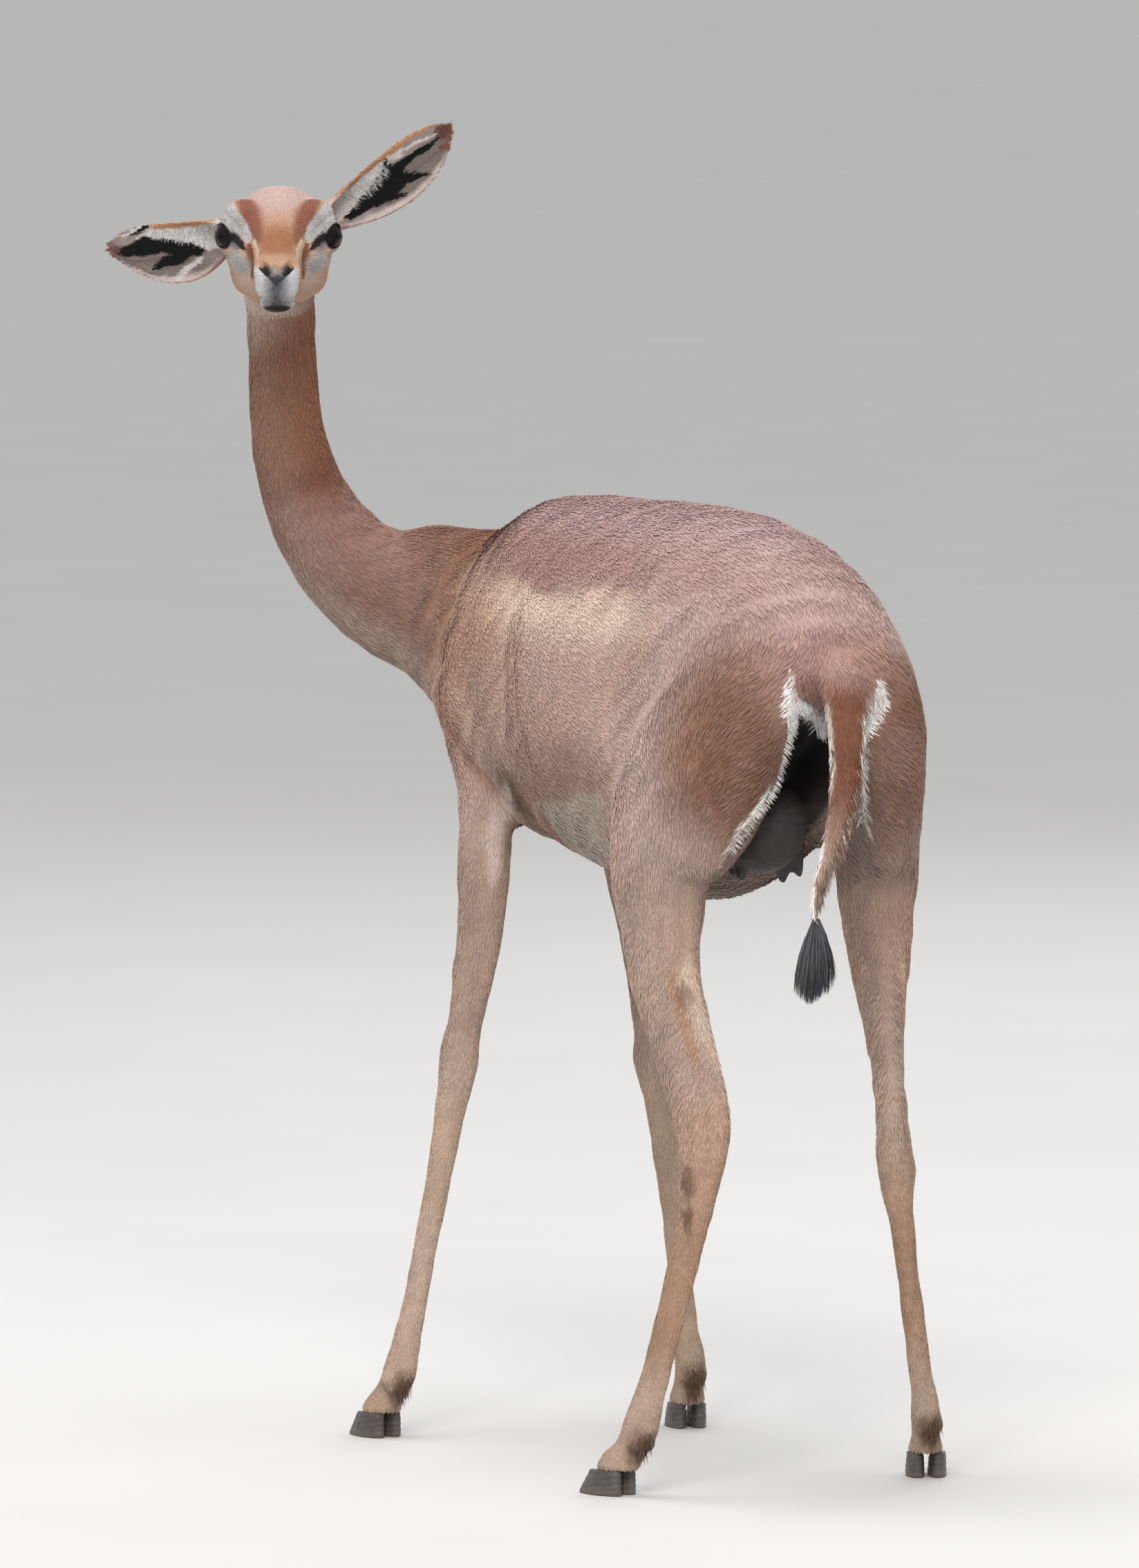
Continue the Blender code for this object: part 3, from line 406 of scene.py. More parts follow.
def nearest_on(co, line):
    """Distance to a polyline and the share of the way along it."""
    line = np.array(line, float)
    spans = np.linalg.norm(np.diff(line, axis=0), axis=1)
    reach = np.concatenate([[0], np.cumsum(spans)]) / spans.sum()
    best = np.full(len(co), 1e9)
    share = np.zeros(len(co))
    for i, (a, b) in enumerate(zip(line, line[1:])):
        span = b - a
        t = np.clip(((co - a) @ span) / (span @ span), 0, 1)
        away = np.linalg.norm(co - (a + t[:, None] * span), axis=1)
        nearer = away < best
        best = np.where(nearer, away, best)
        share = np.where(nearer, reach[i] + t * (reach[i + 1] - reach[i]), share)
    return best, share


def stroke(co, rows, soft=0.3):
    """1 inside a brush stroke, given as places and half widths, fading to 0 at its edge."""
    rows = np.array(rows, float)
    best = np.full(len(co), 9.0)
    for a, b in zip(rows, rows[1:]):
        span = b[:-1] - a[:-1]
        t = np.clip(((co - a[:-1]) @ span) / (span @ span), 0, 1)
        away = np.linalg.norm(co - (a[:-1] + t[:, None] * span), axis=1)
        best = np.minimum(best, away / (a[-1] + t * (b[-1] - a[-1])))
    return fade(1 - soft, 1 + soft, best)


def near(co, line, width, soft=0.5):
    """1 on a polyline, fading to 0 at its width."""
    away, _ = nearest_on(co, line)
    return fade(width * (1 - soft), width * (1 + soft), away)


def blob(co, centre, radii, soft=0.35):
    """1 inside an ellipsoid, fading to 0 outside."""
    away = np.linalg.norm((co - np.array(centre)) / np.array(radii), axis=1)
    return fade(1 - soft, 1 + soft, away)


def plain(colour, co):
    """One colour at every point."""
    return np.tile(colour, (len(co), 1)).astype(float)


def lay(colour, over, share):
    """The colour with another laid over it, by a share for each point."""
    return colour + (np.array(over) - colour) * np.clip(share, 0, 1)[:, None]


def layers(colour, rows):
    """The colour with rows of colour and share laid over it one after another."""
    for over, share in rows:
        colour = lay(colour, over, share)
    return colour


class Ear:
    """Frame of one ear in the head's frame: share along, share across and inner side."""

    def __init__(self, side, along, faces, bow, slim, lift):
        self.side, self.bow, self.slim = side, bow, slim
        self.base = np.array((EAR_BASE.x * side, EAR_BASE.y, EAR_BASE.z + lift))
        along = along.normalized()
        faces = (faces - along * faces.dot(along)).normalized()
        self.along, self.faces = np.array(along), np.array(faces)
        self.across = np.array(along.cross(faces))
        self.upward = 1 if self.across[2] > 0 else -1

    def shape_at(self, share):
        """The blade's half width and how far it bows at a share along."""
        share = np.clip(share, 0, 1)
        half = np.interp(share, np.linspace(0, 1, len(EAR_WIDTH)), EAR_WIDTH) * self.slim
        return half, -self.side * self.bow * np.sin(np.pi * share)

    def read(self, head):
        """Share along, and share across with the upper edge at 1."""
        away = head - self.base
        share = (away @ self.along + EAR_ROOT) / EAR_LENGTH
        half, lean = self.shape_at(share)
        return share, (away @ self.across - lean) / np.maximum(half, 0.004) * self.upward

    def place(self, share, across, proud):
        """The point in the head's frame at a share along and across."""
        half, lean = self.shape_at(share)
        return (
            self.base
            + np.outer(EAR_LENGTH * share - EAR_ROOT, self.along)
            + np.outer(across * half * self.upward + lean, self.across)
            + np.outer(proud, self.faces)
        )


EAR = {name: Ear(*row) for name, row in EARS.items()}
FLESH = sorted(n for n in NODES if "hoof" not in n and n[:3] != "eye" and n not in ("udder", "tail_tuft"))

NECK_LINE = catmull(
    [
        (0.216, -0.403, 1.208),
        (0.195, -0.453, 1.16),
        (0.182, -0.474, 1.07),
        (0.163, -0.485, 0.95),
        (0.134, -0.484, 0.888),
        (0.088, -0.461, 0.835),
        (0.039, -0.413, 0.816),
        (0.008, -0.337, 0.795),
    ],
    6,
)


def kind_of(node):
    """The row of the coat's table that a node uses."""
    return node if node in COAT else node.split("_")[-1]


def lie_of(node, plan):
    """Which way the coat lies at points of one node."""
    count = len(plan)
    x, y, z = plan.T
    if node == "torso":
        thigh = ease(0.16, 0.26, y) * fade(0.8, 0.88, z)
        rear = ease(0.27, 0.31, y) * fade(0.78, 0.86, z)
        chest = fade(-0.36, -0.28, y)
        out = np.outer(np.where(x > -0.03, 1.6, -1.6), (1, 0, 0))
        way = np.tile((0.0, 1.0, -0.34), (count, 1))
        way += np.outer(thigh, (0.0, -0.45, -0.75))
        way += rear[:, None] * (out + np.array((0.0, -0.5, -0.1)))
        way += np.outer(chest, (0.0, -0.5, -0.8))
        return way
    if node.startswith("neck"):
        tangent = np.gradient(NECK_LINE, axis=0)
        index = np.argmin(np.linalg.norm(plan[:, None] - NECK_LINE[None], axis=2), axis=1)
        return unit(tangent[index]) + np.array((0, 0.1, -0.1))
    if node == "head":
        head = in_head(plan)
        way = np.tile((0.0, -1.0, 0.05), (count, 1))
        way[:, 0] += np.sign(head[:, 0]) * 0.35
        way[:, 2] -= 0.5 * fade(-0.02, 0.02, head[:, 2])
        return way @ HEAD_TURNED.T
    if node in EAR:
        return np.tile(HEAD_TURNED @ EAR[node].along, (count, 1))
    return np.tile((0.0, 0.05, -1.0), (count, 1))


def build_skin():
    """One closed mesh over all flesh: fine on the head and ears, wider spaced on the body."""
    upper = remeshed(clipped(merged("upper", FLESH), SPLIT - OVERLAP, True), HEAD_VOXEL, 5)
    lower = remeshed(clipped(merged("lower", FLESH), SPLIT + OVERLAP, False), BODY_VOXEL, 9)
    clipped(upper, SPLIT + SEAM, True, cap=False)
    clipped(lower, SPLIT - SEAM, False, cap=False)
    bm = bmesh.new()
    for obj in (upper, lower):
        bm.from_mesh(obj.data)
        bpy.data.objects.remove(obj)
    bmesh.ops.bridge_loops(bm, edges=[e for e in bm.edges if e.is_boundary])
    bmesh.ops.triangulate(bm, faces=bm.faces)
    bmesh.ops.recalc_face_normals(bm, faces=bm.faces)
    skin = from_bmesh("skin", bm)
    skin.data.shade_smooth()
    return skin


def owners(plan):
    """The index in FLESH of the node nearest each point."""
    verts, faces, owner = [], [], []
    start = 0
    for index, node in enumerate(FLESH):
        co, corners = points_of(NODES[node]) - OFFSET, triangles_of(NODES[node])
        verts.append(co)
        faces.append(corners + start)
        owner += [index] * len(corners)
        start += len(co)
    tree = BVHTree.FromPolygons(np.vstack(verts).tolist(), np.vstack(faces).tolist())
    return np.array([owner[tree.find_nearest(p)[2]] for p in plan.tolist()])


# Columns of the fields after the lie: of the coat, then shares of parts of the body.
DEPTH, LENGTH, WIDTH, ON_HEAD, ON_EAR, ON_NECK, ON_LEG, ON_TAIL = range(3, 11)


def fields_of(plan, owner, edges):
    """Per point: lie, depth, length and width of the coat, then shares of head, ears, neck, legs and tail."""
    values = np.zeros((len(plan), ON_TAIL + 1))
    for index, node in enumerate(FLESH):
        mask = owner == index
        if not mask.any():
            continue
        values[mask, 0:3] = unit(lie_of(node, plan[mask]))
        values[mask, DEPTH : WIDTH + 1] = COAT[kind_of(node)]
        values[mask, ON_HEAD] = node == "head"
        values[mask, ON_EAR] = node in EAR
        values[mask, ON_NECK] = node.startswith("neck")
        values[mask, ON_LEG] = kind_of(node) in ("thigh", "forearm", "cannon")
        values[mask, ON_TAIL] = node == "tail"
    sharp = values[:, ON_HEAD : ON_EAR + 1].copy()
    values = spread(values, edges, 50)
    values[:, ON_HEAD : ON_EAR + 1] = spread(sharp, edges, 6)
    return values


def eye_frame(side):
    """One eye's middle, then the way it faces and the long and high ways of its opening."""
    axis = sided(EYE_FACES, side)
    long_way = Vector((0, 1, -0.3))
    long_way = (long_way - axis * long_way.dot(axis)).normalized()
    return [np.array(v) for v in (sided(EYE_AT, side), axis, long_way, axis.cross(long_way))]


def eye_opening(head):
    """How far each point lies from the middle of the nearer eye's opening, where 1 is the lids' edge."""
    best = np.full(len(head), 9.0)
    for side in (-1, 1):
        centre, axis, long_way, high_way = eye_frame(side)
        away = head - centre
        reach = np.hypot(away @ long_way / OPENING[0], away @ high_way / OPENING[1])
        best = np.minimum(best, np.where(away @ axis > 0, reach, 9.0))
    return best


# Face marks on the right side, mirrored to the left: places in the head's frame, then half widths.
BROW = [
    (0.05, 0.106, 0.046, 0.0085),
    (0.0412, 0.1235, 0.0385, 0.0072),
    (0.0335, 0.133, 0.0305, 0.0062),
    (0.0285, 0.149, 0.0245, 0.004),
]
RUST_MARK = [
    (0.0325, 0.102, 0.0535, 0.0095),
    (0.0275, 0.122, 0.0435, 0.0115),
    (0.0225, 0.14, 0.0345, 0.0088),
    (0.0165, 0.168, 0.026, 0.005),
]
TEAR = [
    (0.05, 0.119, 0.0235, 0.0046),
    (0.043, 0.1275, 0.0215, 0.0048),
    (0.0362, 0.1465, 0.0185, 0.0038),
    (0.032, 0.1545, 0.0145, 0.0022),
]
STRIPE_MARK = [
    (0.0262, 0.153, 0.019, 0.0036),
    (0.0252, 0.165, 0.008, 0.0066),
    (0.0248, 0.167, -0.006, 0.006),
]
CREAM_MARK = [
    (0.0222, 0.158, 0.024, 0.0022),
    (0.02, 0.18, 0.018, 0.0026),
    (0.019, 0.198, 0.012, 0.0028),
    (0.0205, 0.212, 0.002, 0.0026),
]
NOSTRIL = [
    (0.0088, 0.2312, 0.0068, 0.0028),
    (0.0116, 0.2285, 0.0096, 0.0038),
    (0.0146, 0.2235, 0.0118, 0.003),
]
NOSE_EDGE = [(0.009, 0.2325, 0.005, 0.0016), (0.0045, 0.235, 0.0016, 0.0022), (0.0, 0.2365, -0.0022, 0.0024)]
LIPS = [(0.0, 0.234, -0.0262, 0.0024), (0.012, 0.2285, -0.0268, 0.0028), (0.0185, 0.214, -0.0262, 0.002)]
PHILTRUM = [
    (0.0, 0.2365, 0.0, 0.0024),
    (0.0, 0.237, -0.01, 0.0016),
    (0.0, 0.234, -0.025, 0.0015),
]


# The face's colours are darker than the coat's own: painted shade over the whole head.
def paint_head(head, plan):
    """Colour and bareness of the face at points in the head's frame."""
    side, ahead, up = np.abs(head[:, 0]), head[:, 1], head[:, 2]
    folded = np.column_stack([side, ahead, up])
    wobble = noise(plan, 0.0035, 3) * 0.0007
    loose = folded + wobble[:, None]
    top = ease(0.006, 0.026, up + wobble) * fade(0.028, 0.044, side - 0.3 * (0.1 - ahead))
    behind = fade(0.03, 0.075, ahead) * fade(-0.01, 0.03, up)
    reach = eye_opening(head)
    above = ease(-0.005, 0.004, up - EYE_AT.z + 0.35 * (ahead - EYE_AT.y))
    round_eye = fade(1.75, 2.0, reach) * above
    muzzle = ease(0.18, 0.203, ahead - 0.4 * np.maximum(up, -0.01)) * fade(0.006, 0.013, up + wobble)
    shaded = muzzle * fade(0.001, 0.016, side + wobble) * ease(0.212, 0.228, ahead)
    under_lips = [(a, b, c - 0.0045, 0.0046) for a, b, c, _ in LIPS]
    under_tear = [(a, b, c - 0.0055, half) for a, b, c, half in TEAR]
    pad = stroke(folded, NOSE_EDGE, 0.45)
    nostril = stroke(folded, NOSTRIL, 0.25)
    middle = stroke(head, PHILTRUM, 0.4)
    chin = blob(head, (0, 0.2255, -0.0315), (0.019, 0.013, 0.005), 0.25)
    lips = np.maximum(stroke(folded, LIPS, 0.35), chin)
    rim = fade(0.98, 1.08, reach)
    marks = [
        (PALE_CHEEK, blob(folded, (0.034, 0.15, -0.014), (0.016, 0.03, 0.017), 0.6) * 0.85),
        (CROWN, top),
        (FOREHEAD, top * ease(0.1, 0.15, ahead)),
        (upper_neck(plan), np.maximum(behind, fade(0.012, 0.05, ahead))),
        (POLL, blob(head, (-0.02, 0.055, 0.062), (0.016, 0.014, 0.008), 0.6) * 0.45),
        (RUST, stroke(loose, RUST_MARK, 0.55) * ease(0.01, 0.022, up)),
        (BRIDGE, blob(head, (0, 0.186, 0.029), (0.0205, 0.042, 0.016), 0.5)),
        (RUST, near(head, [(0, 0.183, 0.031), (0, 0.197, 0.028)], 0.0017) * 0.8),
        (CREAM, blob(head, (0, 0.219, 0.0215), (0.012, 0.005, 0.005)) * 0.2),
        (STRIPE, stroke(loose, STRIPE_MARK, 0.4) * 0.9),
        (CREAM, stroke(folded, CREAM_MARK, 0.4)),
        (SHADED_FACE_WHITE, np.maximum(stroke(loose, BROW, 0.22), round_eye)),
        (SHADED_FACE_WHITE, blob(loose, (0.0385, 0.143, 0.0005), (0.016, 0.026, 0.012))),
        (SHADED_FACE_WHITE, blob(loose, (0.05, 0.098, 0.001), (0.01, 0.02, 0.009)) * 0.7),
        (MUZZLE, muzzle),
        (UPPER_LIP, muzzle * ease(0.01, 0.018, side) * 0.75),
        (LIP_SHADE, shaded * (0.86 + 0.12 * noise(plan, 0.003, 9))),
        (JAW, ease(0.15, 0.19, ahead) * fade(-0.037, -0.031, up)),
        (SHADED_FACE_WHITE, stroke(folded, under_lips, 0.4) * 0.55),
        (NOSE_BACK, blob(head, (0, 0.2345, 0.01), (0.0065, 0.008, 0.0042), 0.4)),
        (NOSE_PAD, pad),
        (NOSTRIL_DARK, nostril),
        (NOSE, middle * 0.9),
        (LIP_DARK, lips),
        (TEAR_SHADE, stroke(loose, under_tear, 0.9) * 0.75),
        (TEAR_DARK, stroke(folded, TEAR, 0.35)),
        (LID_DARK, rim),
    ]
    return layers(plain(CHEEK, head), marks), np.maximum.reduce([pad, nostril, rim, lips, middle * 0.6])


# Marks and ridges in the ears, as share along, share across and half width in half ears.
EAR_RIDGES = ([(0.6, 0.03, 0.07), (0.89, -0.4, 0.06)], [(0.45, -0.62, 0.08), (0.8, -0.66, 0.07)])
CUPS = {
    "ear_left": [
        [(0.225, -0.5, 0.14), (0.34, -0.25, 0.32), (0.45, -0.12, 0.44), (0.545, 0.02, 0.5)],
        [(0.545, 0.02, 0.5), (0.6, 0.27, 0.2), (0.7, 0.23, 0.14), (0.81, 0.15, 0.12), (0.89, 0.07, 0.06)],
        [(0.54, -0.15, 0.26), (0.64, -0.34, 0.14), (0.715, -0.6, 0.05)],
        [(0.45, -0.38, 0.18), (0.55, -0.67, 0.05)],
        [(0.555, 0.5, 0.1), (0.565, 0.8, 0.07)],
    ],
    "ear_right": [
        [(0.41, -0.16, 0.1), (0.49, 0.0, 0.25), (0.59, 0.18, 0.26), (0.66, 0.27, 0.25)],
        [(0.66, 0.25, 0.21), (0.73, 0.26, 0.31), (0.8, 0.17, 0.33), (0.86, 0.02, 0.27), (0.915, -0.3, 0.1)],
        [
            (0.5, -0.06, 0.18),
            (0.58, -0.17, 0.22),
            (0.65, -0.29, 0.15),
            (0.7, -0.43, 0.13),
            (0.74, -0.56, 0.04),
        ],
        [(0.71, 0.9, 0.07), (0.76, 0.82, 0.07), (0.84, 0.72, 0.03)],
    ],
}
WHITES = {
    "ear_left": [
        [(0.59, 0.74, 0.13), (0.65, 0.58, 0.11)],
        [(0.65, 0.68, 0.06), (0.79, 0.52, 0.06), (0.9, 0.28, 0.04)],
    ],
    "ear_right": [
        [(0.72, 1.0, 0.09), (0.86, 0.74, 0.09)],
        [(0.7, 0.69, 0.05), (0.8, 0.57, 0.04)],
        [(0.43, -0.36, 0.1), (0.52, -0.55, 0.12), (0.6, -0.82, 0.1)],
    ],
}
# Shares along where the rust upper margin ends, the brown tip starts, and the upper margin's white hair ends.
RUST_END = {"ear_left": 0.97, "ear_right": 0.67}
TIP_START = {"ear_left": 0.855, "ear_right": 0.905}
BAND_END = {"ear_left": 0.565, "ear_right": 0.71}
HALVES_LONG = 6  # an ear's length in half widths


def ear_spot(share, across):
    return np.column_stack([share * HALVES_LONG, across])


def ear_rows(rows):
    return [(share * HALVES_LONG, across, half) for share, across, half in rows]


def paint_ear(name, head, normal_in, plan):
    """Colour of one ear: tan back, dark branching cup, white upper side with a rust margin, brown tip."""
    share, across = EAR[name].read(head)
    end, shown, tip = BAND_END[name], RUST_END[name], TIP_START[name]
    wobble = noise(plan, 0.006, 8) * 0.06
    thin = noise(np.column_stack([share * 60, across * 3, np.zeros(len(head))]), 1.0, 21)
    spot = ear_spot(share, across + wobble)
    blade = fade(0.4, 0.7, np.abs(across + 0.3)) * ease(0.3, 0.45, share)
    dent = stroke(spot, ear_rows([(0.72, -0.42, 0.16), (0.8, -0.6, 0.14)]), 0.7)
    reach = np.interp(share, [0.0, 0.3, 0.45, 0.56, 0.7], [-0.9, -0.35, 0.02, 0.25, 0.55])
    band = ease(-0.05, 0.1, across - reach + wobble) * fade(end, end + 0.025, share)
    rust = ease(0.68, 0.84, across + wobble) * ease(0.16, 0.28, share)
    rust = rust * fade(shown, shown + 0.04, share)
    middle = fade(0.35, 0.75, np.abs(across - 0.15)) * fade(0.97, 0.995, share)
    back = [
        (FLANK, ease(0.2, 0.9, np.abs(across)) * 0.5),
        (EAR_TIP, ease(0.84, 0.97, share + wobble)),
    ]
    inside = [
        (EAR_BLADE, blade * 0.8),
        (EAR_DENT, dent * 0.6),
        (EAR_LOW_EDGE, ease(-0.66, -0.86, across + wobble)),
        (EAR_LOW_RIM, ease(-0.9, -0.99, across)),
        (EAR_HAIR_ROOT, band),
        (EAR_WHITE, band * ease(0.22, 0.36, share)),
        *((EAR_PATCH, stroke(spot, ear_rows(rows), 0.4) * 0.9) for rows in WHITES[name]),
        (EAR_CUP, np.max([stroke(spot, ear_rows(rows), 0.12) for rows in CUPS[name]], axis=0)),
        (EAR_MARGIN, rust),
        (EAR_TIP, ease(tip, tip + 0.07, share + wobble)),
        (TIP_MIDDLE, ease(tip, tip + 0.05, share + wobble) * middle * 0.7),
    ]
    skin = plain(EAR_SKIN, head) * (1 + 0.16 * thin)[:, None]
    return lay(layers(plain(EAR_BACK, head), back), layers(skin, inside), ease(-0.1, 0.25, normal_in))


# White edges behind the thighs, with half widths.
EDGE_LEFT = [
    (0.021, 0.343, 0.803, 0.0012),
    (0.02, 0.344, 0.788, 0.0034),
    (0.017, 0.344, 0.77, 0.0076),
    (0.018, 0.342, 0.752, 0.005),
    (0.018, 0.34, 0.738, 0.0034),
    (0.022, 0.337, 0.705, 0.0032),
    (0.034, 0.328, 0.68, 0.0038),
    (0.054, 0.318, 0.652, 0.0036),
    (0.066, 0.3, 0.624, 0.0028),
    (0.068, 0.272, 0.585, 0.0016),
]
EDGE_RIGHT = [
    (-0.074, 0.347, 0.793, 0.0014),
    (-0.072, 0.348, 0.778, 0.006),
    (-0.073, 0.345, 0.764, 0.0085),
    (-0.068, 0.341, 0.753, 0.0078),
    (-0.063, 0.336, 0.738, 0.0042),
    (-0.064, 0.322, 0.712, 0.0028),
    (-0.069, 0.308, 0.686, 0.0034),
    (-0.074, 0.302, 0.666, 0.0032),
    (-0.081, 0.293, 0.645, 0.0026),
    (-0.09, 0.279, 0.612, 0.0014),
]
ARCH = [
    (0.016, 0.342, 0.767, 0.0052),
    (0.004, 0.34, 0.764, 0.0056),
    (-0.008, 0.33, 0.76, 0.0056),
    (-0.018, 0.319, 0.754, 0.0052),
    (-0.026, 0.311, 0.745, 0.0044),
    (-0.031, 0.306, 0.736, 0.0034),
]
ROOT = [(0.012, 0.343, 0.79, 0.006), (-0.002, 0.344, 0.788, 0.008), (-0.016, 0.346, 0.784, 0.008)]
ELBOW_FOLD = [
    (0.112, -0.079, 0.822),
    (0.115, -0.087, 0.79),
    (0.119, -0.079, 0.753),
    (0.12, -0.065, 0.717),
    (0.114, -0.058, 0.684),
]
FLANK_FOLD = [
    (0.109, 0.105, 0.765),
    (0.102, 0.138, 0.8),
    (0.093, 0.173, 0.832),
    (0.081, 0.195, 0.853),
    (0.064, 0.212, 0.877),
]
CHEST_FOLD = [(0.098, -0.265, 0.703), (0.094, -0.247, 0.68), (0.086, -0.224, 0.661), (0.08, -0.205, 0.652)]
LOW_FLANK_FOLD = [(0.1, 0.13, 0.76), (0.094, 0.165, 0.792), (0.086, 0.196, 0.82)]
NECK_FOLDS = [
    [(0.084, -0.374, 0.795), (0.078, -0.356, 0.823), (0.068, -0.344, 0.851)],
    [(0.08, -0.352, 0.772), (0.074, -0.331, 0.811), (0.07, -0.312, 0.828)],
    [(0.074, -0.388, 0.876), (0.086, -0.384, 0.842), (0.09, -0.391, 0.801)],
]
HAM_FOLD = [(0.094, 0.3, 0.69), (0.088, 0.309, 0.668), (0.08, 0.312, 0.655)]
STIFLE = [(0.112, 0.092, 0.775), (0.114, 0.1, 0.725), (0.111, 0.104, 0.685), (0.103, 0.104, 0.65)]
ARM = [(0.1, -0.262, 0.742), (0.104, -0.235, 0.715), (0.102, -0.205, 0.69)]
# Creases and ridges of the moving skin: half width, how dark the painted shade in a crease or how pale the
# painted highlight on a ridge, and how deep or high.
CREASES = [
    (ELBOW_FOLD, 0.007, 0.3, 0.0026),
    (CHEST_FOLD, 0.0065, 0.4, 0.0026),
    (FLANK_FOLD, 0.011, 0.16, 0.002),
    (LOW_FLANK_FOLD, 0.011, 0.08, 0.0008),
    (NECK_FOLDS[0], 0.0075, 0.25, 0.0022),
    (NECK_FOLDS[1], 0.0065, 0.2, 0.0018),
    (NECK_FOLDS[2], 0.01, 0.16, 0.0012),
    (HAM_FOLD, 0.0055, 0.14, 0.001),
]
RIDGES = [(STIFLE, 0.008, 0.1, 0.0014), (ARM, 0.014, 0.12, 0.0022)]


def streaks(plan, along, across, length, width, seed):
    """Noise drawn out along one direction, like rows of hair that part."""
    along = np.array(along) / np.linalg.norm(along)
    across = np.array(across) / np.linalg.norm(across)
    third = np.cross(along, across)
    place = [plan @ along / length, plan @ across / width, plan @ third / (3 * width)]
    return noise(np.column_stack(place), 1.0, seed)


def flank_streaks(plan, length, width):
    """Streaks that run up and back over the flank."""
    return streaks(plan, (0, 0.75, 0.65), (0, 0.65, -0.75), length, width, 4)


def spine_at(y):
    """Where the middle of the trunk lies across, at places along it."""
    return -0.03 * ease(-0.15, 0.36, y)


def folded_over(plan):
    """Plan points with the trunk's right half laid over its left."""
    x, y, z = plan.T
    return np.column_stack([np.maximum(x, 2 * spine_at(y) - x), y, z])


NAPE_LINE = [
    (0.172, -0.437, 1.13),
    (0.16, -0.44, 1.02),
    (0.146, -0.438, 0.94),
    (0.12, -0.432, 0.9),
    (0.08, -0.42, 0.893),
    (0.045, -0.37, 0.888),
    (0.025, -0.33, 0.898),
]
SHOULDER_LINE = [(0.045, -0.34, 0.885), (0.072, -0.335, 0.838), (0.095, -0.338, 0.79), (0.1, -0.335, 0.75)]
# The saddle's lower border and the belly's upper border: places along the body and heights.
BORDER_ALONG = [-0.34, -0.26, -0.21, -0.129, -0.084, -0.052, -0.012, 0.051, 0.111, 0.197, 0.3]
BORDER_HEIGHT = [0.905, 0.88, 0.862, 0.866, 0.86, 0.852, 0.853, 0.863, 0.866, 0.868, 0.862]
BELLY_ALONG = [-0.08, -0.041, 0.008, 0.05, 0.101]
BELLY_HEIGHT = [0.64, 0.646, 0.651, 0.661, 0.668]


def upper_neck(plan):
    """Colour of the neck under the head: painted shade of the head over it, pale coat on the lit side and
    dark nape on the side away from the light, partly the coat's own and partly painted light and shade, and
    painted light under the chin.
    """
    lit_side = ease(-0.01, 0.035, (plan[:, 0] - 0.175) * 0.903 - (plan[:, 1] + 0.475) * 0.43)
    # Pale on the lit side, painted shade on the far side, painted light under the chin.
    marks = [
        (THROAT, lit_side * 0.86),
        (NAPE, (1 - lit_side) * 0.45),
        # Painted light under the chin, against the head's shadow.
        (UNDER_CHIN_LIGHT, blob(plan, (0.2, -0.44, 1.098), (0.034, 0.05, 0.03), 0.9) * 0.75),
    ]
    return layers(plain(UPPER_NECK_SHADE, plan), marks)


